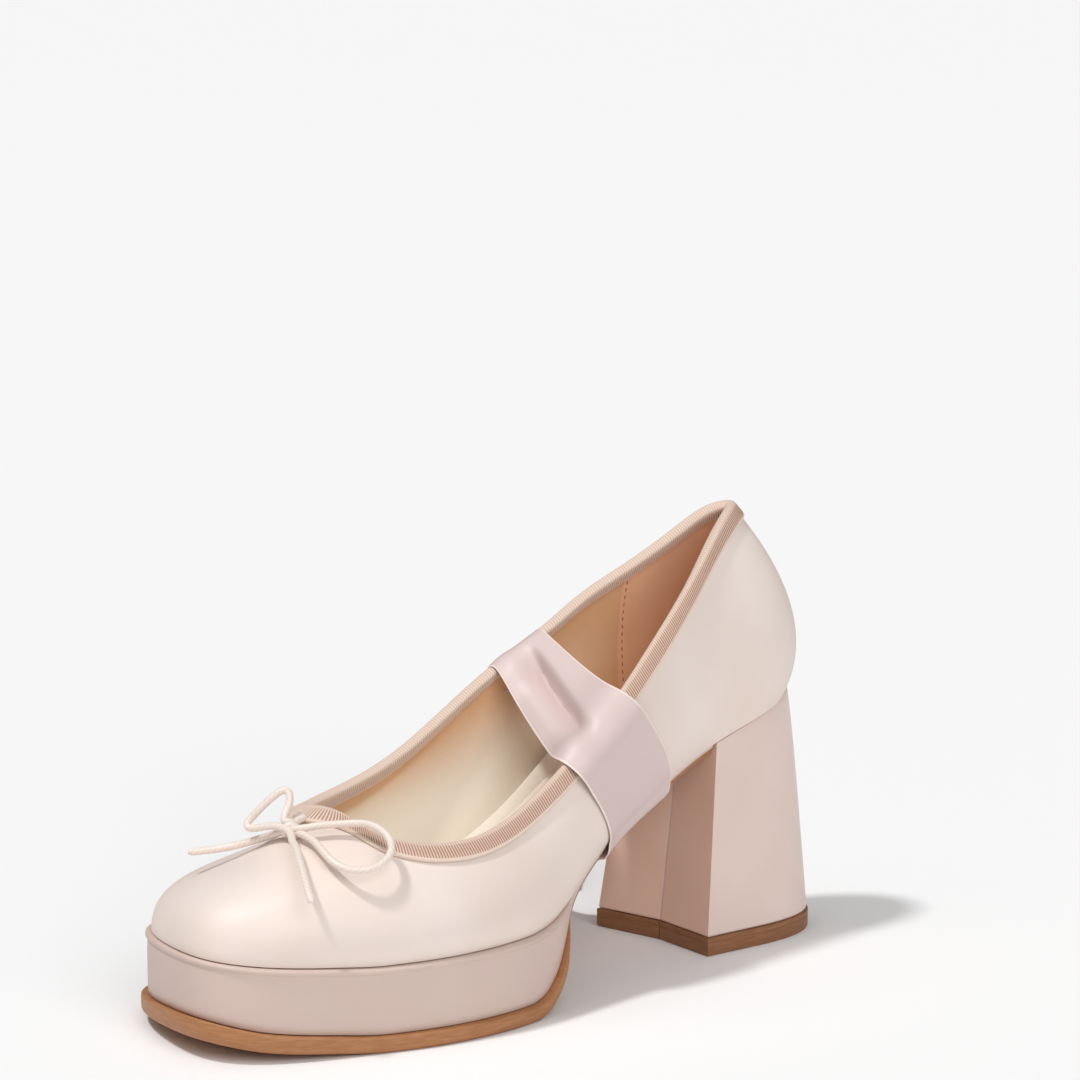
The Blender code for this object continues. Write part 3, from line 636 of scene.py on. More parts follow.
@dataclass(frozen=True)
class SatinFinish(Finish):
    """Polyester satin, woven with long floats: a soft wide gloss that streaks along the warp."""

    float_mm: float = 5.0        # length of the visible streaks
    thread_mm: float = 0.45      # drawn coarser than the real 0.1 mm so that it shows
    drift_mm: float = 38.0       # patches where the colour drifts
    dent_mm: float = 14.3        # spacing of the cloth's soft dents over its backing
    dent_deep_mm: float = 0.25
    gloss: float = 0.6           # floats lying side by side mirror more than a matt weave does

    def dress(self, tree: bpy.types.NodeTree, shader: bpy.types.Node) -> None:
        """Add drift of colour, thread streaks and soft dents.

        Args:
            tree: the material's nodes.
            shader: its Principled node.
        """
        weave = self.relief(
            tree, (self.threads(tree, self.float_mm, self.thread_mm), "Fac"), 0.22, 0.05)
        dents = self.relief(
            tree, (self.grain(tree, self.dent_mm, 1.5), "Fac"), 0.5, self.dent_deep_mm, weave)
        self.wear(tree, shader, self.mottle(tree, self.drift_mm, 0.22), dents, self.gloss)
        tangent = add(tree, "ShaderNodeTangent", {"direction_type": "UV_MAP", "uv_map": "flat"}, {})
        tree.links.new(tangent.outputs[0], shader.inputs["Tangent"])
        shader.inputs["Anisotropic"].default_value = 0.5


@dataclass(frozen=True)
class RibbedTapeFinish(Finish):
    """Grosgrain tape: matt crosswise ribs, with painted shade darkening the grooves between their
    crests.
    """

    rib_mm: float = 0.85
    warp_mm: tuple[float, float] = (2.0, 0.3)      # length and thickness of the fine warp
    warp_deep_mm: float = 0.06

    def dress(self, tree: bpy.types.NodeTree, shader: bpy.types.Node) -> None:
        """Paint shade into the grooves between the crests and add the fine warp over the ribs.

        Args:
            tree: the material's nodes.
            shader: its Principled node.
        """
        ribs = self.bands(tree, "X", (self.rib_mm, 1.0), math.pi / 2)
        # painted shade in the grooves between the ribs, scaled by the rib share on the UV
        rib_groove_shade = self.math(tree, "SUBTRACT", 1.0, (ribs, "Fac"))
        painted_rib_shade = self.math(tree, "MULTIPLY", (rib_groove_shade, 0), (self.place(tree, "UV"), "Y"))
        colour = self.mix(tree, (painted_rib_shade, 0), linear(self.colour), linear(self.shade))
        warp = self.relief(tree, (self.threads(tree, *self.warp_mm), "Fac"), 0.5, self.warp_deep_mm)
        self.wear(tree, shader, colour, warp, 0.3, 0.15)


@dataclass(frozen=True)
class RibbonFinish(Finish):
    """Double-faced satin ribbon: equal gloss on both faces, a woven selvedge along each edge."""

    width_mm: float = 38.0
    drift_mm: float = 30.0       # patches where the colour drifts
    float_mm: float = 9.0        # length of the visible streaks
    thread_mm: float = 0.4
    selvedge_mm: tuple[float, float] = (0.6, 0.9)      # from the edge, where the selvedge fades out
    selvedge: str = "#efded6"

    def dress(self, tree: bpy.types.NodeTree, shader: bpy.types.Node) -> None:
        """Add warp streaks and the two selvedges.

        Args:
            tree: the material's nodes.
            shader: its Principled node.
        """
        middle = self.math(tree, "PINGPONG", (self.place(tree, "UV"), "Y"), self.width_mm * MM)
        offset = self.math(tree, "SUBTRACT", (middle, 0), self.width_mm * MM / 2)
        reach = self.math(tree, "ABSOLUTE", (offset, 0), 0.0)
        near, far = self.selvedge_mm
        edge = self.rise(
            tree, (reach, 0), (self.width_mm / 2 - far) * MM, (self.width_mm / 2 - near) * MM)
        colour = self.mix(tree, (edge, "Result"), (self.mottle(tree, self.drift_mm, 0.2), 2),
                          linear(self.selvedge))
        weave = self.relief(
            tree, (self.threads(tree, self.float_mm, self.thread_mm), "Fac"), 0.2, 0.05)
        self.wear(tree, shader, colour, self.relief(tree, (edge, "Result"), 0.6, 0.15, weave), 0.8)


@dataclass(frozen=True)
class LeatherFinish(Finish):
    """Thin lining leather: even matt grain with fine pores, and painted light: paler low down and
    toward the toe, darker under the topline as painted shade.
    """

    pore_mm: float = 0.7         # drawn a little coarse so that it shows
    fibre_mm: float = 1.1        # tufts of the suede side
    drift_mm: float = 16.0       # patches where the colour drifts
    nap: float = 0.0             # 1 for a suede side out
    painted_light: str = ""               # the painted light's pale colour, if any
    painted_light_down_mm: tuple[float, float] = (7.0, 44.0)      # below the topline: it starts, is full
    painted_light_ahead_mm: tuple[float, float] = (-68.0, -28.0)  # from the shoe's middle, the same

    def paint_light(self, tree: bpy.types.NodeTree, colour: bpy.types.Node) -> bpy.types.Node:
        """Add painted light: a paler colour low down and toward the toe, leaving painted shade near
        the topline.

        Args:
            tree: the material's nodes.
            colour: the colour without the painted light.

        Returns:
            The mix of both colours.
        """
        down_from, down_to = (edge * MM for edge in self.painted_light_down_mm)
        ahead_from, ahead_to = (edge * MM for edge in self.painted_light_ahead_mm)
        down = self.rise(tree, (self.place(tree, "UV"), "Y"), down_from, down_to)
        ahead = self.rise(tree, (self.place(tree, "Object"), "X"), ahead_from, ahead_to)
        # share of painted light: full low down and toward the toe
        both = self.math(tree, "MULTIPLY", (down, 0), (ahead, 0))
        return self.mix(tree, (both, 0), (colour, 2), linear(self.painted_light))

    def dress(self, tree: bpy.types.NodeTree, shader: bpy.types.Node) -> None:
        """Add drift of colour, painted light and pores.

        Args:
            tree: the material's nodes.
            shader: its Principled node.
        """
        colour = self.mottle(tree, self.drift_mm, 0.25)
        if self.painted_light:
            colour = self.paint_light(tree, colour)
        coordinate = add(tree, "ShaderNodeTexCoord", {}, {})
        pores = add(tree, "ShaderNodeTexVoronoi", {"feature": "SMOOTH_F1"}, {
            "Vector": (coordinate, "Object"), "Scale": 1.0 / (self.pore_mm * MM)})
        height = add(tree, "ShaderNodeMix", {"data_type": "FLOAT"}, {
            0: self.nap, 2: (pores, "Distance"), 3: (self.grain(tree, self.fibre_mm, 4.0), "Fac")})
        self.wear(
            tree, shader, colour, self.relief(tree, (height, 0), 0.35, 0.12), 0.3, 0.5 * self.nap)


@dataclass(frozen=True)
class SoleFinish(Finish):
    """Tan sole sheet with a burnished edge: waxy, lines along its layers, and light scuffs."""

    grain_mm: float = 0.6
    layer_mm: float = 5.0        # length of the lines along the layers
    layer_squeeze: float = 9.0   # how much closer they lie than they are long

    def dress(self, tree: bpy.types.NodeTree, shader: bpy.types.Node) -> None:
        """Add layer lines and scuffs.

        Args:
            tree: the material's nodes.
            shader: its Principled node.
        """
        coordinate = add(tree, "ShaderNodeTexCoord", {}, {})
        squeezed = add(tree, "ShaderNodeMapping", {}, {
            "Vector": (coordinate, "Object"), "Scale": (1.0, 1.0, self.layer_squeeze)})
        layers = add(tree, "ShaderNodeTexNoise", {}, {
            "Vector": (squeezed, 0), "Scale": 1.0 / (self.layer_mm * MM), "Detail": 4.0})
        share = self.rise(tree, (layers, "Fac"), 0.3, 0.7, "LINEAR")
        colour = self.mix(tree, (share, "Result"), linear(self.colour), linear(self.shade))
        scuffs = self.relief(tree, (self.grain(tree, self.grain_mm, 3.0), "Fac"), 0.3, 0.1)
        self.wear(tree, shader, colour, scuffs, 0.4)


@dataclass(frozen=True)
class CordFinish(Finish):
    """Satin-covered cord: fine braid that runs round it on the slant."""

    braid_mm: float = 0.9

    def dress(self, tree: bpy.types.NodeTree, shader: bpy.types.Node) -> None:
        """Add the slanting braid.

        Args:
            tree: the material's nodes.
            shader: its Principled node.
        """
        braid = self.bands(tree, "DIAGONAL", (self.braid_mm, self.braid_mm))
        colour = self.mix(tree, (braid, "Fac"), linear(self.shade), linear(self.colour))
        self.wear(tree, shader, colour, self.relief(tree, (braid, "Fac"), 0.2, 0.05), 0.45, 0.25)


@dataclass(frozen=True)
class BackdropFinish(Finish):
    """Matt white paper: no pattern of its own, a trace of tooth."""

    tooth_mm: float = 1.7

    def dress(self, tree: bpy.types.NodeTree, shader: bpy.types.Node) -> None:
        """Add the paper's tooth.

        Args:
            tree: the material's nodes.
            shader: its Principled node.
        """
        tooth = self.relief(tree, (self.grain(tree, self.tooth_mm, 2.0), "Fac"), 0.05, 0.05)
        tree.links.new(tooth.outputs[0], shader.inputs["Normal"])
        shader.inputs["Base Color"].default_value = linear(self.colour)
        shader.inputs["Specular IOR Level"].default_value = 0.1


# Blush satin over board and padding: a wide soft gloss, deeper on the platform; the breast's warmer
# copy is painted shade and warm bounce light from under the arch.
UPPER_SATIN = SatinFinish("satin_over_upper", "#efe1d9", "#e8d6cb", 0.5)
PLATFORM_SATIN = SatinFinish("satin_over_platform", "#d4bfb3", "#d1b9b0", 0.48)
HEEL_SATIN = SatinFinish("satin_over_heel", "#e6d2c9", "#e1c9c0", 0.46)
BREAST_SHADE_SATIN = SatinFinish("satin_breast_painted_shade", "#f6d3be", "#f0c7b1", 0.5)
# Double-faced satin ribbon: cooler than the shoe, smooth, with a pale woven line along each edge.
RIBBON = RibbonFinish("satin_ribbon", "#dcc7c3", "#d7c1bd", 0.5)
# Grosgrain: matt ribs with painted shade in their grooves, which read as fine dark lines between
# pale crests.
TAPE = RibbedTapeFinish("grosgrain_tape", "#e8d2c2", "#a4755d", 0.7)
# Lining: warm leather with painted light, pale low down and toward the toe; soft suede at the heel,
# and a pale leather sock.
VAMP_LINING = LeatherFinish("lining_leather", "#e3b890", "#dbab82", 0.5, painted_light="#f8eedc")
COUNTER_LINING = LeatherFinish("counter_suede", "#f2c09a", "#e8b28c", 0.85, nap=1.0)
SOCK = LeatherFinish("sock_leather", "#f6ecdf", "#f2e6d5", 0.5)
# Soles: a waxy tan sheet under the forepart, and darker rubber under the heel.
SOLE_SHEET = SoleFinish("sole_sheet", "#b57f56", "#a46e45", 0.5)
TOP_PIECE = SoleFinish("top_piece_rubber", "#9a6a47", "#885a38", 0.5)
# Cord and thread: a pale, slightly glossy braid, and matt stitches darker than their leather.
CORD = CordFinish("satin_cord", "#f2e2d8", "#eadbd0", 0.36)
STITCH = CordFinish("lining_thread", "#c08a68", "#a87453", 0.6)
# Paper: matt white, so that it only takes the shadows.
BACKDROP = BackdropFinish("backdrop_paper", "#f7f7f7", "#f7f7f7", 0.9)


# ---------------------------------------------------------------- upper
@dataclass
class Upper:
    """Satin shell over its lining, with the soft marks that lasting leaves, and its binding."""

    wall: float = 1.6
    satin: float = 0.9
    play: float = 0.3
    tape_width: float = 5.2
    tape_throat: float = 1.8       # extra width round the throat
    tape_inside: float = 3.2
    tape_thick: float = 0.8
    rib_pitch: float = 0.85
    rib_height: float = 0.16
    counter: tuple[float, float] = (4.1, 20.95)    # stations where the heel's lining begins, ends
    lining_overlap: float = 0.25   # stations that one lining runs on under the other
    station_mm: float = 26.0       # a station's length along the edge, for the marks
    toe_station: float = 12.0
    pucker_deep: float = 0.10      # pleats that lasting leaves along the feather edge
    pull_deep: float = 0.05        # the tape's sewing pulls the satin
    swell_deep: float = 0.12       # the shell's own unevenness
    stitch_pitch: float = 1.3
    stitch_radius: float = 0.2

    def marks(self, stations: Array, distance: Array) -> Array:
        """Return how far the satin stands off its smooth form: puckers and the tape's pull.

        Args:
            stations: places round the shoe.
            distance: distances below the topline, a row for each station.

        Returns:
            Heights over the smooth form.
        """
        place = np.array(stations)[:, None]
        around = place * self.station_mm
        from_edge = distance[:, -1:] - distance
        from_tape = np.abs(distance - self.tape_width)
        puckers = np.sin(around / 3.7 + 0.8 * np.sin(around / 9.0)) * np.exp(-from_edge / 4.0)
        puckers = puckers * (0.35 + bell(place, self.toe_station, 4.2))
        pull = np.sin(around / 2.6 + np.sin(around / 11.0)) * np.exp(-from_tape / 3.0)
        swell = np.sin(around / 17.0) * np.sin(distance / 13.0)
        return self.pucker_deep * puckers + self.pull_deep * pull + self.swell_deep * swell

    def satin_shell(self) -> bpy.types.Object:
        """Build the satin, from under the tape to the feather edge.

        Returns:
            The satin shell.
        """
        stations = FORM.stations(360)
        start = 0.6            # below the topline, hidden by the tape
        points, normals, distance = FORM.skin(
            stations, lambda length: start + (length - start) * np.linspace(0.0, 1.0, 44))
        fade = (ease((distance - self.tape_width + 1.0) / 3.0)
                * ease((distance[:, -1:] - distance) / 1.2))
        outer = points + normals * (self.marks(stations, distance) * fade)[:, :, None]
        inner = (points - normals * self.satin)[:, ::4]
        edge, outward = FORM.feather(stations)
        inner[:, -1] = edge - outward * self.satin
        inner[:, -1, 2] = FORM.height(inner[:, -1, 0], 1)
        return keep("upper_satin", shell(outer, inner).mesh(), UPPER_SATIN,
                    ("upper",))

    def lining(self, name: str, first: float, last: float, proud: float,
               finish: Finish) -> bpy.types.Object:
        """Build one lining panel between two stations.

        Args:
            name: the panel's name.
            first: its first station.
            last: its last station.
            proud: how far its face stands inside the wall's own inner face.
            finish: its leather.

        Returns:
            The panel.
        """
        stations = np.linspace(first, last, round((last - first) * 13))
        points, normals, _ = FORM.skin(
            stations, lambda length: 0.8 + (length - 0.9) * np.linspace(0.0, 1.0, 26))
        edge, outward = FORM.feather(stations)
        outer = points - normals * (self.satin + 0.05)
        inner = points - normals * (self.wall + proud)
        for surface, inset in ((outer, self.satin + 0.05), (inner, self.wall + proud)):
            surface[:, -1] = edge - outward * inset
            surface[:, -1, 2] = FORM.height(surface[:, -1, 0], 1) + 0.05
        panel = shell(outer, inner)
        # Depth below the topline as the UV Y; the vamp lining's painted light reads it.
        deep = run_length(outer[len(outer) // 2])
        panel.flat[:, :, 1] = np.concatenate([deep, deep[::-1], deep[:1]])
        return keep(name, panel.mesh(cap_ends=True), finish)

    def seam(self, name: str, station: float) -> bpy.types.Object:
        """Build the row of stitches that holds the heel's lining to the vamp's, down one side.

        Args:
            name: the piece's name.
            station: where the heel's lining ends.

        Returns:
            The stitches.
        """
        bm = bmesh.new()
        # The row runs this many stations beside the lining's edge.
        beside = 0.09 if station > len(UPPER_ROWS) / 2 else -0.09
        start = self.tape_inside + 1.5
        above_edge = 4.0
        points, normals, _ = FORM.skin([station + beside], lambda length: np.arange(
            start, length[0, 0] - above_edge, self.stitch_pitch))
        places = points[0] - normals[0] * (self.wall + 1.2 * self.stitch_radius)
        for here, there in zip(places[::2], places[1::2]):
            length = np.linalg.norm(there - here)
            made = bmesh.ops.create_icosphere(bm, subdivisions=1, radius=1.0)
            turn = Vector((there - here) / length).to_track_quat("Z", "X").to_matrix().to_4x4()
            size = Vector((self.stitch_radius, self.stitch_radius, length * 0.62))
            bmesh.ops.scale(bm, vec=size * MM, verts=made["verts"])
            bmesh.ops.transform(bm, matrix=turn, verts=made["verts"])
            bmesh.ops.translate(
                bm, vec=Vector(((here + there) / 2 - CENTRE) * MM), verts=made["verts"])
        return keep(name, bm, STITCH)

    def tape(self) -> bpy.types.Object:
        """Build the tape, folded over the edge, ribbed between its two plain selvedges.

        Returns:
            The tape.
        """
        ribs = round(FORM.topline()[1][-1] / self.rib_pitch)
        stations = FORM.even_stations(4 * ribs)
        width = self.tape_width + self.tape_throat * bell(stations, 11.0, 3.0)
        outside = self.play + self.tape_thick
        inside = -(self.wall + self.play + self.tape_thick)
        crest = (outside + inside) / 2
        half = (outside - inside) / 2
        rows = [                # share of the width down, out, up, share of the rib's height
            (1.0, self.play, 0.0, 0.0), (1.0, outside - 0.3, 0.0, 0.0), (0.96, outside, 0.0, 0.0),
            (0.86, outside, 0.0, 0.1), (0.81, outside, 0.0, 0.9), (0.5, outside, 0.0, 1.0),
            (0.14, outside, 0.0, 0.9), (0.07, outside, 0.0, 0.5), (0.0, outside, 0.0, 0.45),
        ]
        for turn in np.linspace(0.0, math.pi, 9)[1:-1]:
            rows.append((0.0, crest + half * math.cos(turn), outside * math.sin(turn) ** 0.8, 0.4))
        deep = self.tape_inside / self.tape_width
        rows += [
            (0.0, inside, 0.0, 0.5), (0.08, inside, 0.0, 0.8), (0.15, inside, 0.0, 1.0),
            (deep - 0.14, inside, 0.0, 1.0), (deep - 0.09, inside, 0.0, 0.1),
            (deep - 0.03, inside, 0.0, 0.0),
            (deep, inside + 0.3, 0.0, 0.0), (deep, inside + self.tape_thick, 0.0, 0.0),
            (0.0, inside + self.tape_thick, 0.3, 0.0), (0.0, self.play, 0.3, 0.0), rows[0],
        ]
        share, out, up, ribbed = np.array(rows).T
        points, normals, _ = FORM.skin(stations, lambda _: share * width[:, None])
        rise = unit(points[:, 8] - points[:, 5])
        ridge = self.rib_height * np.abs(np.sin(np.arange(len(stations)) * math.pi / 4.0))
        ridge[-1] = ridge[0]
        proud = out + np.sign(out - crest) * ribbed * ridge[:, None]
        surface = points + normals * proud[:, :, None] + rise[:, None] * up[:, None]
        flat = flat_of(surface)
        flat[:, :, 0] = (np.arange(len(stations)) / 4.0 * self.rib_pitch)[:, None]
        # the rib share also sets how much painted shade the tape's grooves get
        flat[:, :, 1] = ribbed / MM
        return keep("topline_tape", Patch(surface, flat).mesh(), TAPE,
                    ("topline_binding",))

    def build(self) -> None:
        """Build every piece of the upper."""
        self.satin_shell()
        start, end = self.counter
        overlap = self.lining_overlap
        self.lining("vamp_lining", start - overlap, end + overlap, 0.0, VAMP_LINING)
        self.lining("counter_lining", end - len(UPPER_ROWS), start, 0.15, COUNTER_LINING)
        self.seam("lining_seam_lateral", start)
        self.seam("lining_seam_medial", end)
        self.tape()


# ---------------------------------------------------------------- sole
@dataclass
class Sole:
    """Insole, platform and outsole: layers between paired stations of the two sides."""

    play: float = 0.3
    wall: float = Upper.wall
    top_play: float = 0.36
    arch_rise: float = 6.0         # how much higher the sock's rim rides under the arch
    arch_middle: float = 72.0
    breast: float = 46.0
    climb: tuple[float, float] = (103.5, 136.0)      # where the bottom drops from waist to tread
    tread_end: float = 191.0
    platform_out: float = 1.2
    ledge: float = 0.6
    tail_in: float = 0.8
    lip: float = 3.3
    waist_in: float = 1.6
    bevel: float = 2.4

    def stations(self) -> Array:
        """Return stations from the breast round the toe, both sides at the same x up to the ball.

        Returns:
            Stations, the lateral half first.
        """
        sides = np.concatenate([
            np.linspace(self.breast + 3 * self.play, self.climb[0] - 1.5, 24),
            np.linspace(*self.climb, 27),
            np.linspace(self.climb[1] + 3.0, self.tread_end, 19),
        ])
        lateral = [FORM.station_at(x, Side.LATERAL) for x in sides]
        medial = [FORM.station_at(x, Side.MEDIAL) for x in sides]
        toe = np.linspace(lateral[-1], medial[-1], 63)[1:-1]
        return np.concatenate([lateral, toe[:31], toe[30:], medial[::-1]])

    def forepart(self, x: Array) -> Array:
        """Return 0 along the waist and 1 where the platform has its full height."""
        height = FORM.height(x, 1) - FORM.height(x, 2)
        return ease((height - 4.2) / 16.0)

    def layer(self, stations: Array, levels: Sequence[tuple[Array, Callable[[Array], Array]]],
              across: int) -> Patch:
        """Return a closed layer's sheet.

        Args:
            stations: from one side round the toe to the other, in pairs.
            levels: for each one from the top, how far out it is at each station, and its height.
            across: points across the top and the bottom.

        Returns:
            Rings round the layer from heel to toe.
        """
        edge, outward = FORM.feather(stations)
        pairs = len(stations) // 2
        lines = []
        for out, height in levels:
            line = edge + outward * np.asarray(out)[:, None]
            line[:, 2] = height(line[:, 0])
            lines.append(line)
        lateral = [line[:pairs] for line in lines]
        medial = [line[::-1][:pairs] for line in lines]
        share = np.linspace(0.0, 1.0, across)[1:-1]
        top = [lateral[0] + (medial[0] - lateral[0]) * t for t in share]
        bottom = [medial[-1] + (lateral[-1] - medial[-1]) * t for t in share]
        ring = lateral[::-1] + top + medial + bottom + [lateral[-1]]
        points = np.stack(ring, axis=1)
        flat = flat_of(points)
        run = run_length(edge[:pairs])
        flat[:, :, 0] = run[:, None]
        return Patch(points, flat)

    def platform(self) -> bpy.types.Object:
        """Build the covered platform with its rolled top edge and thin tail.

        Returns:
            The platform.
        """
        stations = self.stations()
        x = FORM.feather(stations)[0][:, 0]
        full = self.forepart(x)
        rows = (                # share of the height, how far out, in parts of the ledge
            (0.0, -0.9), (0.008, 0.1), (0.02, 0.65), (0.035, 0.93), (0.052, 1.0), (0.07, 0.92),
            (0.085, 0.6), (0.098, 0.12), (0.11, -0.1), (0.14, 0.0), (0.3, 0.1), (0.5, 0.14),
            (0.7, 0.12), (0.88, 0.05), (0.96, -0.1), (1.0, -0.6),
        )

        def side(share: float) -> Callable[[Array], Array]:
            """Find the heights of a level of the platform's side.

            Args:
                share: the level's share of the side, from the top.

            Returns:
                What gives the level's height at each place along the shoe.
            """
            def height(at: Array) -> Array:
                """Find the level's height.

                Args:
                    at: places along the shoe.

                Returns:
                    The height at each.
                """
                slope = FORM.height(at + 0.5, 2) - FORM.height(at - 0.5, 2)
                top = FORM.height(at, 1) - self.top_play
                bottom = FORM.height(at, 2) + FORM.height(at, 3) + self.play * np.hypot(1.0, slope)
                return top + (bottom - top) * share
            return height

        levels = [
            (full * (self.platform_out + self.ledge * out) - (1.0 - full) * self.tail_in,
             side(share))
            for share, out in rows
        ]
        return keep("platform_cover", self.layer(stations, levels, 10).mesh(cap_ends=True),
                    PLATFORM_SATIN, ("platform",))

    def outsole(self) -> bpy.types.Object:
        """Build the outsole with softened edges, bevelled up the waist.

        Returns:
            The outsole.
        """
        stations = self.stations()
        x = FORM.feather(stations)[0][:, 0]
        full = self.forepart(x)
        rows = (                # share of the thickness, share of the bevel, extra inset
            (0.0, 0.0, 0.35), (0.06, 0.0, 0.1), (0.15, 0.0, 0.0), (0.45, 0.0, 0.0),
            (0.75, 0.1, 0.0), (0.88, 0.45, 0.15), (0.96, 0.8, 0.4), (1.0, 1.0, 0.75),
        )
        levels = []
        for share, slant, inset in rows:
            tread = self.lip - 0.6 * slant
            waist = self.waist_in + self.bevel * slant
            out = full * tread - (1.0 - full) * waist - inset

            def height(at: Array, share: float = share) -> Array:
                """Return the level's height."""
                return FORM.height(at, 2) + FORM.height(at, 3) * (1.0 - share)

            levels.append((out, height))
        return keep("outsole_sheet", self.layer(stations, levels, 14).mesh(cap_ends=True),
                    SOLE_SHEET, ("outsole",))

    def sock(self) -> bpy.types.Object:
        """Build the padded, sock-covered insole: its rim rides up the wall beside a pressed line.

        Returns:
            The insole.
        """
        lateral = np.linspace(0.0, len(UPPER_ROWS) / 2, 150)
        stations = np.concatenate([lateral, len(UPPER_ROWS) - lateral[::-1]])
        medial = stations > len(UPPER_ROWS) / 2
        x = FORM.feather(stations)[0][:, 0]
        arch = np.where(medial, self.arch_rise * bell(x, self.arch_middle, 17.0), 0.0)
        rows = (        # height over the feather edge, inset from the wall, share of the arch
            (1.6, 13.0, 0.0), (1.75, 9.0, 0.15), (2.3, 5.6, 0.4), (2.6, 4.6, 0.5),
            (2.35, 4.1, 0.55), (2.9, 3.6, 0.6), (3.7, 1.8, 0.85), (4.1, 0.9, 0.96),
            (4.2, 0.4, 1.0), (3.9, 0.05, 1.0), (2.6, 0.0, 0.6), (0.0, 0.0, 0.0),
        )
        levels = []
        for rise, inset, share in rows:
            out = np.full(len(stations), -(self.wall + 2 * self.play) - inset)

            def height(at: Array, rise: float = rise, share: float = share) -> Array:
                """Return the level's height."""
                return FORM.height(at, 1) + rise + arch * share

            levels.append((out, height))
        return keep("sock_insole", self.layer(stations, levels, 10).mesh(), SOCK,
                    ("insole",))

    def build(self) -> None:
        """Build the three layers."""
        self.platform()
        self.outsole()
        self.sock()


# ---------------------------------------------------------------- heel
@dataclass
class Heel:
    """Covered block heel, flared to its top piece, its front folded in along a middle seam."""

    play: float = 0.3
    breast_top: float = 46.0
    breast_foot: float = 54.4
    half_breast: float = 24.0
    half_middle: float = 26.0
    hollow: float = 3.2
    top_piece: float = 5.8
    top_piece_out: float = 0.4
    squareness: float = 0.75       # 1 for an oval back, less for a squarer one
    corner: float = 0.35           # stations from a breast corner to the next point
    crisp: float = 28.0            # degrees from which an edge shows as one
    tuck: float = 0.35             # how far its rims turn in

    def foot(self, count: int, out: float = 0.0) -> Array:
        """Return the outline at the ground, from the lateral corner round to the medial one.

        Args:
            count: points in it.
            out: how far it stands out from the block's foot.

        Returns:
            Points in plan.
        """
        length = 0.55 * self.breast_foot
        turn = np.linspace(0.0, math.pi, count - 2)
        reach = np.sin(turn) ** self.squareness
        spread = np.sign(np.cos(turn)) * np.abs(np.cos(turn)) ** self.squareness
        front = self.breast_foot + out
        side = self.half_breast + out
        x = np.concatenate([[front], length - (length + out) * reach, [front]])
        y = np.concatenate([[side], (self.half_middle + out) * spread, [-side]])
        return np.column_stack([x, y])

    def ring(self, outline: Array, middle: Array) -> Array:
        """Close an outline over the folded-in front, with the seam's narrow groove at the middle.

        Args:
            outline: points from the lateral corner round the back to the medial one.
            middle: the innermost point of the front.

        Returns:
            The closed ring.
        """
        groove = np.array([-1.0, 0.0, 0.0])
        shares = np.concatenate([np.linspace(0.0, 0.97, 8), [0.989]])[1:]
        medial = [outline[-1] + (middle - outline[-1]) * t for t in shares]
        lateral = [middle + (outline[0] - middle) * (1.0 - t) for t in shares[::-1]]
        return np.vstack([outline, medial, [middle + groove], lateral, outline[:1]])

    def block(self) -> bpy.types.Object:
        """Build the covered block.

        Returns:
            The block.
        """
        count = 90
        lateral = FORM.station_at(self.breast_top, Side.LATERAL)
        medial = FORM.station_at(self.breast_top, Side.MEDIAL) - len(UPPER_ROWS)
        round_back = np.linspace(lateral - self.corner, medial + self.corner, count - 2)
        seat, _ = FORM.feather(np.concatenate([[lateral], round_back, [medial]]))
        foot = self.foot(count)
        foot_z = self.top_piece + self.play
        back = np.sin(np.linspace(0.0, math.pi, count))
        rings = []
        for share in np.concatenate([[0.0, 0.012], np.linspace(0.04, 0.97, 30), [0.992, 1.0]]):
            flare = (share ** (1.0 - 0.3 * back))[:, None]
            plan = seat[:, :2] * (1.0 - flare) + foot * flare
            height = (seat[:, 2:] - self.play) * (1.0 - share) + foot_z * share
            outline = np.column_stack([plan, height])
            middle = (outline[0] + outline[-1]) / 2
            middle[0] -= self.hollow
            middle[2] = (FORM.height(middle[0], 1) - self.play) * (1.0 - share) + foot_z * share
            ring = self.ring(outline, middle)
            if share in (0.0, 1.0):
                ring[:, :2] += unit(ring.mean(axis=0)[:2] - ring[:, :2]) * self.tuck
            rings.append(ring)
        points = np.stack(rings, axis=0)
        bm = Patch(points, flat_of(points)).mesh(cap_ends=True)
        # The breast's faces take the warmer copy of the satin: painted shade and warm bounce light
        # under the arch.
        breast = (self.breast_top - self.hollow - 0.4 - CENTRE[0]) * MM
        for face in bm.faces:
            breast_shade_face = abs(face.normal.x) > 0.7 and face.calc_center_median().x > breast
            face.material_index = int(breast_shade_face)
        block = keep("heel_cover", bm, HEEL_SATIN, ("heel_block",), sharp=self.crisp)
        block.data.materials.append(BREAST_SHADE_SATIN.material())
        return block

    def piece(self) -> bpy.types.Object:
        """Build the top piece with eased edges.

        Returns:
            The top piece.
        """
        rings = []
        rows = (                # height, how far it draws in; a line runs round at 4.25
            (self.top_piece, 0.3), (5.65, 0.0), (4.4, 0.0), (4.25, 0.12), (4.1, 0.0),
            (0.7, 0.0), (0.25, 0.2), (0.0, 0.5),
        )
        for height, inset in rows:
            out = self.top_piece_out - inset
            plan = self.foot(70, out)
            outline = np.column_stack([plan, np.full(len(plan), height)])
            middle = np.array([self.breast_foot + out - self.hollow, 0.0, height])
            rings.append(self.ring(outline, middle))
        points = np.stack(rings, axis=0)
        bm = Patch(points, flat_of(points)).mesh(cap_ends=True)
        return keep("heel_top_piece_rubber", bm, TOP_PIECE, ("heel_top_piece",),
                    sharp=self.crisp)

    def build(self) -> None:
        """Build block and top piece."""
        self.block()
        self.piece()


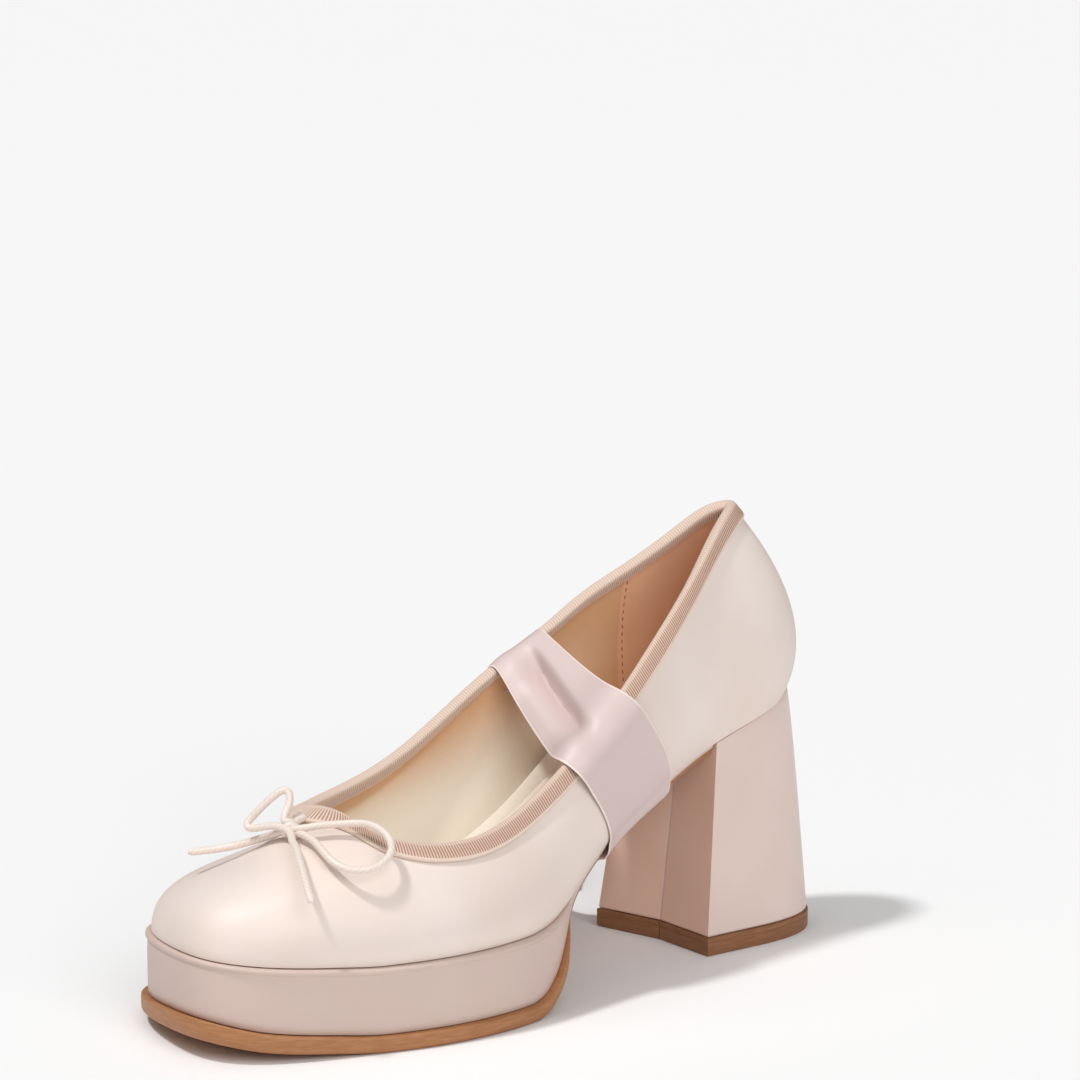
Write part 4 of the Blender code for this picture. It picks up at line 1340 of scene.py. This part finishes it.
# ---------------------------------------------------------------- ribbon
@dataclass
class Ribbon:
    """Satin ribbon: under the waist, up the lateral quarter, over the opening, two free ends."""

    width: float = 38.0
    thick: float = 0.5
    play: float = 0.5
    tape: float = Upper.play + Upper.tape_thick       # the tape's face off the upper
    wall: float = Upper.wall
    tape_width: float = Upper.tape_width
    tape_inside: float = Upper.tape_inside
    # Stations of its edges at the feather edge and the topline.
    near_front: tuple[float, float] = (4.93, 5.4)
    near_back: tuple[float, float] = (3.86, 4.34)
    far_front: tuple[float, float] = (19.0, 17.6)
    far_back: tuple[float, float] = (20.2, 18.8)
    sag: float = 0.4
    step: float = 0.15             # share of the width that the step to its slack front half takes
    trough: float = 1.6            # depth of the trough at the step's foot
    trough_place: tuple[float, float] = (0.5, 0.66)       # across, at the near and the far side
    full: float = 1.6              # how far the front half stands up where it is full
    fullness_reach: tuple[float, float] = (16.0, 9.0)     # over which it comes and goes at the ends
    taken_up: float = 2.5          # short of the far topline, where the slack is taken up
    lift: float = 1.2              # how far it stands clear where it turns over the near topline
    droop: float = 5.4             # how far its slack front half hangs into the opening
    bend: float = 2.2              # how softly it turns over the near topline
    columns: int = 33
    opening_rows: int = 40
    layer_rise: float = 2.5        # one layer on the ground over the next
    layer_hump: float = 2.2        # the lie of a layer between its folds
    fold_bulge: float = 2.4        # how far a fold's round stands out
    gather_reach: float = 26.0     # over which a free end's trough opens out flat
    wave_deep: float = 0.3         # slow waves along a free end
    wave_length: float = 23.0
    cut_reach: float = 30.0        # over which the slope of its cut edge is taken up
    lowest: float = 0.55           # its middle sheet lies no lower than this

    def across(self) -> Array:
        """Return the columns' places across the ribbon, 0 at its front edge."""
        return np.linspace(0.0, 1.0, self.columns)

    def stations(self, side: Side, share: float) -> Array:
        """Return the strap's stations at a share of the way from the feather edge to the topline.

        Args:
            side: the side of the shoe.
            share: 0 at the feather edge, 1 at the topline.

        Returns:
            A station for each of its columns.
        """
        near = side is Side.LATERAL
        front, back = (self.near_front, self.near_back) if near else (self.far_front, self.far_back)
        start = front[0] + (front[1] - front[0]) * share
        end = back[0] + (back[1] - back[0]) * share
        return start + (end - start) * self.across()

    def on_quarter(self) -> list[Array]:
        """Return the strap's rows up the lateral quarter.

        Returns:
            Rows of points.
        """
        rows = []
        for share in np.linspace(0.04, 0.96, 26):
            stations = self.stations(Side.LATERAL, share)
            points, normals, distance = FORM.skin(
                stations, lambda length, s=share: length * (1.0 - s))
            lift = np.clip(1.0 - (distance[:, 0] - self.tape_width) / 5.0, 0.0, 1.0)
            clear = self.play + self.tape * ease(lift)
            rows.append(points[:, 0] + normals[:, 0] * clear[:, None])
        return rows

    def under_waist(self) -> list[Array]:
        """Return the strap's rows under the waist, from the medial side to the lateral.

        Returns:
            Rows of points.
        """
        near, near_out = FORM.feather(self.stations(Side.LATERAL, 0.0))
        far, far_out = FORM.feather(self.stations(Side.MEDIAL, 0.0))

        def place(edge: Array, outward: Array, out: float, share: float, drop: float) -> Array:
            """Lay one row under the waist.

            Args:
                edge: the feather edge.
                outward: the way out of the shoe at each of its points.
                out: how far out from it the row lies.
                share: share of the sole's depth that it goes down.
                drop: how far it hangs below that.

            Returns:
                The row's points.
            """
            row = edge + outward * out
            top = FORM.height(row[:, 0], 1)
            row[:, 2] = top - (top - FORM.height(row[:, 0], 2)) * share - drop
            return row

        steps = (               # out from the edge, share of the sole's depth, drop under it
            (0.75, 0.3, 0.0), (0.3, 0.7, 0.1), (-0.8, 1.0, 0.4), (-3.2, 1.0, 0.6),
            (-8.0, 1.0, self.play),
        )
        rows = [place(far, far_out, -0.9, 1.0, 0.6)]
        rows += [place(far, far_out, *step) for step in steps[3:]]
        for share in (0.3, 0.5, 0.7):
            row = far + (near - far) * share
            row[:, 2] = FORM.height(row[:, 0], 2) - self.play
            rows.append(row)
        return rows + [place(near, near_out, *step) for step in reversed(steps)]

    def crest(self, side: Side, offset: float) -> Array:
        """Return a row over the tape's crest.

        Args:
            side: the side of the shoe.
            offset: how far out from the upper's face it lies.

        Returns:
            The row's points.
        """
        points, normals, _ = FORM.skin(self.stations(side, 1.0), lambda _: [0.0, self.tape_inside])
        rise = unit(points[:, 0] - points[:, 1])
        return points[:, 0] + normals[:, 0] * offset + rise * (self.tape + self.play)

    def over_opening(self) -> list[Array]:
        """Return the strap's rows over the opening, stretched from topline to topline.

        Returns:
            Rows of points.
        """
        inner = -(self.wall + self.tape)
        near = self.crest(Side.LATERAL, inner)
        far = self.crest(Side.MEDIAL, inner)
        rows = [self.crest(Side.LATERAL, self.tape), self.crest(Side.LATERAL, -0.8), near]
        for share in np.linspace(0.0, 1.0, self.opening_rows + 2)[1:-1]:
            row = near + (far - near) * share
            row[:, 2] -= 4.0 * share * (1.0 - share) * self.sag
            rows.append(row)
        return rows + [far, self.crest(Side.MEDIAL, -0.8), self.crest(Side.MEDIAL, self.tape)]

    def folds(self, run: Array, span: float) -> Array:
        """Return how far the strap stands off its stretched sheet.

        Args:
            run: distances along it from the near topline.
            span: the distance from there to the far topline.

        Returns:
            A row for each distance: a taut back half, a step down with a trough at its foot, and
            a slack front half.
        """
        w = self.across()[None, :]
        run = run[:, None]
        share = np.clip(run / span, 0.0, 1.0)
        left = span - run
        near, far = self.fullness_reach
        ahead = (ease((run + near) / 20.0) * ease(1.0 + left / far)
                 * (1.0 - 0.6 * ease((near - left) / near)))
        slack = ease((run + 4.0) / 20.0) * ease((left - self.taken_up) / 13.0)
        middle = self.trough_place[0] + (self.trough_place[1] - self.trough_place[0]) * share
        step = ease((middle + self.step / 2 - w) / self.step)
        valley = bell(w, middle - 0.6 * self.step, 0.8 * self.step)
        clear = self.lift * bell(run, 0.0, 11.0) * (1.0 - 0.7 * ease((w - 0.6) / 0.4))
        full = self.full * ahead * bell(w, 0.2, 0.2)
        return clear + full - slack * (self.droop * step + self.trough * valley)

    def down_far(self) -> list[Array]:
        """Return the strap's rows from the medial topline down its outside.

        Returns:
            Rows of points.
        """
        stations = self.stations(Side.MEDIAL, 1.0)
        rows = []
        for distance in (2.2, 4.0, 6.0, 8.0, 10.0):
            points, normals, _ = FORM.skin(stations, lambda length, d=distance: [d])
            rows.append(points[:, 0] + normals[:, 0] * (self.tape + self.play))
        return rows

    def solid(self, grid: Array) -> Patch:
        """Give a ribbon's middle sheet its thickness, fuller along the selvedges.

        Args:
            grid: the ribbon's middle sheet, in rows along it.

        Returns:
            Both faces and both edges as one sheet.
        """
        normal = self.outward(grid)
        w = np.linspace(0.0, 1.0, grid.shape[1])
        edge = np.minimum(w, 1.0 - w) * self.width
        half = self.thick / 2 * (0.75 + 0.55 * bell(edge, 0.7, 0.6))
        half[[0, -1]] *= 0.5
        over = grid + normal * half[None, :, None]
        under = grid - normal * half[None, :, None]
        points = np.concatenate([over, under[:, ::-1], over[:, :1]], axis=1)
        along = run_length(grid[:, grid.shape[1] // 2])
        width = np.concatenate([w, 2.0 - w[::-1], [2.0]]) * self.width
        flat = np.stack(np.meshgrid(along, width, indexing="ij"), axis=-1)
        return Patch(points, flat)

    def outward(self, grid: Array) -> Array:
        """Return the outward direction at each point of a sheet."""
        return unit(np.cross(np.gradient(grid, axis=1), np.gradient(grid, axis=0)))

    def ease_rows(self, grid: Array, times: int, share: Array) -> Array:
        """Smooth a sheet along its length, each row by its share, the two ends held.

        Args:
            grid: the sheet, in rows along it.
            times: how often it is smoothed.
            share: how much each row moves.

        Returns:
            The smoothed sheet.
        """
        grid = grid.copy()
        for _ in range(times):
            eased = 0.25 * grid[:-2] + 0.5 * grid[1:-1] + 0.25 * grid[2:]
            grid[1:-1] += (eased - grid[1:-1]) * np.minimum(1.0, 1.6 * share[1:-1, None, None])
        return grid

    def strap(self) -> bpy.types.Object:
        """Build the part of the ribbon that the shoe holds.

        Returns:
            The strap.
        """
        lower = self.under_waist() + self.on_quarter()
        opening = self.over_opening()
        grid = np.array(lower + opening + self.down_far())
        run = run_length(grid[:, self.columns // 2])
        start = run[len(lower) + 1]
        span = run[len(lower) + len(opening) - 2] - start
        lift = self.thick / 2 + self.bend * bell(run, start, 15.0)
        grid = grid + self.outward(grid) * lift[:, None, None]
        grid = self.ease_rows(grid, 13, bell(run, start, 10.0))
        smooth = self.ease_rows(grid, 30, np.ones(len(run)))
        grid = grid + self.outward(smooth) * self.folds(run - start, span)[:, :, None]
        grid = self.ease_rows(grid, 10, bell(run, start + 0.4 * span, 0.42 * span))
        length = run_length(grid[:, self.columns // 2])[-1] * MM
        bm = self.solid(grid).mesh(cap_ends=True)
        piece = keep("ribbon_strap_satin", bm, RIBBON, ("ribbon_strap",))
        return piece

    def laid(self, drop: Sequence, folds: Sequence) -> tuple[Array, Array]:
        """Return the middle line and half-width vectors of a free end: its drop, then its folds.

        Args:
            drop: rows from the shoe to the ground.
            folds: where it folds back on the ground.

        Returns:
            Points of the middle line and the half-width vector at each.
        """
        rows = list(spline(drop, np.linspace(0.0, len(drop) - 1, 6 * len(drop) - 5)))
        base = drop[-1][2]
        start = np.array(drop[-1][:2])
        side = None
        for index, fold in enumerate(folds):
            goal = np.array(fold)
            heading = unit(goal - start)
            before = side
            side = np.array([-heading[1], heading[0]]) * self.width / 2
            if side[0] < 0.0:
                side = -side
            floor = base + index * self.layer_rise
            if index:
                for turn in np.linspace(0.0, 1.0, 9)[1:-1]:
                    angle = math.pi * turn
                    x, y = start - heading * self.fold_bulge * math.sin(angle)
                    height = floor - self.layer_rise * (1.0 + math.cos(angle)) / 2
                    lean = before + (side - before) * turn
                    rows.append([x, y, height, lean[0], lean[1], 0.0])
            for share in np.linspace(0.0, 1.0, 40)[(0 if index else 1):]:
                x, y = start + (goal - start) * share
                hump = self.layer_hump * math.sin(math.pi * share)
                rows.append([x, y, floor + hump, side[0], side[1], 0.0])
            start = goal
        rows = np.array(rows)
        return rows[:, :3], rows[:, 3:]

    def free_end(self, name: str, node: str, drop: Sequence, folds: Sequence, gathered: float,
                 slant: float) -> bpy.types.Object:
        """Build one free end, lying in loose folds beside the shoe.

        Args:
            name: the piece's name.
            node: the CAD node that it replaces.
            drop: rows from the shoe to the ground.
            folds: where it folds back on the ground.
            gathered: depth of its trough where it leaves the shoe.
            slant: how far its cut end slopes.

        Returns:
            The ribbon end.
        """
        middle, half = self.laid(drop, folds)
        run = run_length(middle)
        w = self.across() * 2.0 - 1.0
        grid = middle[:, None, :] + half[:, None, :] * w[None, :, None]
        along = unit(np.gradient(middle, axis=0))
        normal = unit(np.cross(half, along))
        trough = gathered * np.exp(-run / self.gather_reach)
        shape = bell(w, 0.1, 0.34)[None, :] - 0.4 * bell(w, -0.55, 0.25)[None, :]
        wave = self.wave_deep * np.sin(run / self.wave_length)[:, None] * np.sin(2.2 * w)[None, :]
        grid += normal[:, None, :] * (trough[:, None] * shape + wave)[:, :, None]
        to_cut = ease(1.0 - (run[-1] - run) / self.cut_reach)
        cut = to_cut[:, None] * (w[None, :] + 1.0) / 2.0 * slant
        grid -= along[:, None, :] * cut[:, :, None]
        grid[:, :, 2] = np.maximum(grid[:, :, 2], self.lowest)
        piece = keep(name, self.solid(grid).mesh(cap_ends=True), RIBBON, (node,))
        return piece

    def build(self) -> None:
        """Build the strap and the two free ends."""
        self.strap()
        self.free_end("ribbon_end_upper_satin", "ribbon_end_upper", UPPER_END_DROP, UPPER_END_FOLDS,
                      gathered=4.5, slant=14.0)
        self.free_end("ribbon_end_lower_satin", "ribbon_end_lower", LOWER_END_DROP, LOWER_END_FOLDS,
                      gathered=0.8, slant=-12.0)


# ---------------------------------------------------------------- bow
@dataclass
class Bow:
    """Cord bow at the throat: two cords, each with a loop and an end, wrapped by a knot."""

    radius: float = 1.1
    sides: int = 14
    knot_centre: tuple[float, float, float] = (196.3, -3.8, 59.5)
    knot_length: float = 3.4
    knot_radius: float = 2.0

    def tube(self, path: Array, radius: float) -> Patch:
        """Return a round tube on a path, its ends eased.

        Args:
            path: its middle line.
            radius: its full radius.

        Returns:
            The tube's sheet.
        """
        along = unit(np.gradient(path, axis=0))
        side = unit(np.cross(along[0], [0.0, 0.0, 1.0]))
        turn = np.linspace(0.0, 2.0 * math.pi, self.sides + 1)
        run = run_length(path)
        rings = []
        for i, (point, heading) in enumerate(zip(path, along)):
            side = unit(side - heading * np.dot(side, heading))
            other = np.cross(heading, side)
            near_end = min(run[i], run[-1] - run[i])
            size = radius * (0.55 + 0.45 * math.sqrt(min(1.0, near_end / 0.6)))
            rings.append(
                point + size * (np.cos(turn)[:, None] * side + np.sin(turn)[:, None] * other))
        points = np.array(rings)
        around = turn * radius
        return Patch(points, np.stack(np.meshgrid(run, around, indexing="ij"), axis=-1))

    def cord(self, name: str, route: Sequence, nodes: Sequence[str]) -> None:
        """Args:
            name: the piece's name.
            route: points that it passes through.
            nodes: the CAD nodes that it replaces.
        """
        path = spline(route, np.linspace(0.0, len(route) - 1, 7 * len(route)))
        piece = keep(name, self.tube(path, self.radius).mesh(cap_ends=True), CORD, nodes)
        world = (path - CENTRE) * MM
        tuple(world[0])
        round(float(run_length(world)[-1]), 4)
        [tuple(point) for point in world]

    def knot(self) -> bpy.types.Object:
        """Build the knot: a turn and a half of the cord wrapped round the crossing.

        Returns:
            The knot.
        """
        turn = np.linspace(0.0, 3.3 * math.pi, 60)
        slide = (turn / turn[-1] - 0.5) * self.knot_length
        axis = unit(np.array([0.35, 0.9, -0.25]))
        up = unit(np.cross(axis, [1.0, 0.0, 0.2]))
        front = np.cross(up, axis)
        wrap = np.cos(turn + 2.2)[:, None] * up * 0.85 + np.sin(turn + 2.2)[:, None] * front
        path = np.array(self.knot_centre) + axis * slide[:, None] + self.knot_radius * wrap
        return keep("bow_knot_cord", self.tube(path, self.radius * 0.95).mesh(cap_ends=True), CORD,
                    ("bow_knot",))

    def build(self) -> None:
        """Build the knot and both cords."""
        knot = self.knot()
        self.cord("bow_cord_lateral", BOW_CORD_LATERAL, ("bow_loop_lateral", "bow_tail_medial"))
        self.cord("bow_cord_medial", BOW_CORD_MEDIAL, ("bow_loop_medial", "bow_tail_lateral"))


# ---------------------------------------------------------------- studio
@dataclass
class Studio:
    """White paper floor, soft light with one sharper lamp, and a long lens."""

    azimuth: float = 136.86
    elevation: float = 10.68
    distance: float = 1.3396
    target: tuple[float, float, float] = (120.0, 19.2, 137.1)
    lens: float = 153.7

    def back(self) -> Vector:
        """Return the direction from the shoe to the camera.

        Returns:
            A unit vector.
        """
        azimuth = math.radians(self.azimuth)
        elevation = math.radians(self.elevation)
        level = math.cos(elevation)
        return Vector((math.sin(azimuth) * level, -math.cos(azimuth) * level, math.sin(elevation)))

    def camera(self) -> None:
        """Stand the camera in front of the lateral side."""
        data = bpy.data.cameras.new("camera")
        data.lens = self.lens
        data.sensor_width = 36.0
        data.clip_end = 100.0
        eye = bpy.data.objects.new("camera", data)
        bpy.context.scene.collection.objects.link(eye)
        eye.location = Vector((np.array(self.target) - CENTRE) * MM) + self.back() * self.distance
        eye.rotation_euler = self.back().to_track_quat("Z", "Y").to_euler()
        bpy.context.scene.camera = eye

    def floor(self) -> None:
        """Lay the floor, far wider than the view."""
        bm = bmesh.new()
        bmesh.ops.create_grid(bm, x_segments=8, y_segments=8, size=15.0)
        mesh = bpy.data.meshes.new("floor")
        bm.to_mesh(mesh)
        bm.free()
        ground = bpy.data.objects.new("floor", mesh)
        bpy.context.scene.collection.objects.link(ground)
        mesh.materials.append(BACKDROP.material())

    def sun(self, name: str, toward: tuple[float, float, float], strength: float,
            softness: float) -> None:
        """Add an even light from a direction given as right, away from the camera and up.

        Args:
            name: the lamp's name.
            toward: where it stands: right, away from the camera and up.
            strength: its strength.
            softness: how wide it looks, in degrees.
        """
        right = Vector((0.0, 0.0, 1.0)).cross(self.back()).normalized()
        away = Vector((-self.back().x, -self.back().y, 0.0)).normalized()
        data = bpy.data.lights.new(name, "SUN")
        data.energy = strength
        data.angle = math.radians(softness)
        lamp = bpy.data.objects.new(name, data)
        bpy.context.scene.collection.objects.link(lamp)
        aim = right * toward[0] + away * toward[1] + Vector((0.0, 0.0, toward[2]))
        lamp.rotation_euler = aim.to_track_quat("Z", "Y").to_euler()

    def light(self) -> None:
        """Light the room dimly, with a broad lamp overhead, a sharp one left, a soft one ahead."""
        world = bpy.data.worlds.new("studio")
        world.use_nodes = True
        ground = world.node_tree.nodes["Background"]
        ground.inputs["Color"].default_value = linear("#ffffff")
        ground.inputs["Strength"].default_value = 0.2
        bpy.context.scene.world = world
        bpy.context.scene.view_settings.view_transform = "Standard"
        self.sun("overhead", (-0.3, -0.1, 1.0), 0.5, 70.0)
        self.sun("key", (-0.38, -0.15, 0.92), 1.5, 6.0)
        self.sun("front", (0.4, -0.9, 0.65), 1.3, 45.0)

    def build(self) -> None:
        """Set up camera, floor and light."""
        self.camera()
        self.floor()
        self.light()


def main() -> None:
    """Build the studio and every sub-assembly in order."""
    logging.basicConfig(level=logging.INFO, format="%(name)s: %(message)s")
    for part in (Studio(), Upper(), Sole(), Heel(), Ribbon(), Bow()):
        part.build()
        LOG.info("%s done", type(part).__name__)


if __name__ == "__main__":
    main()
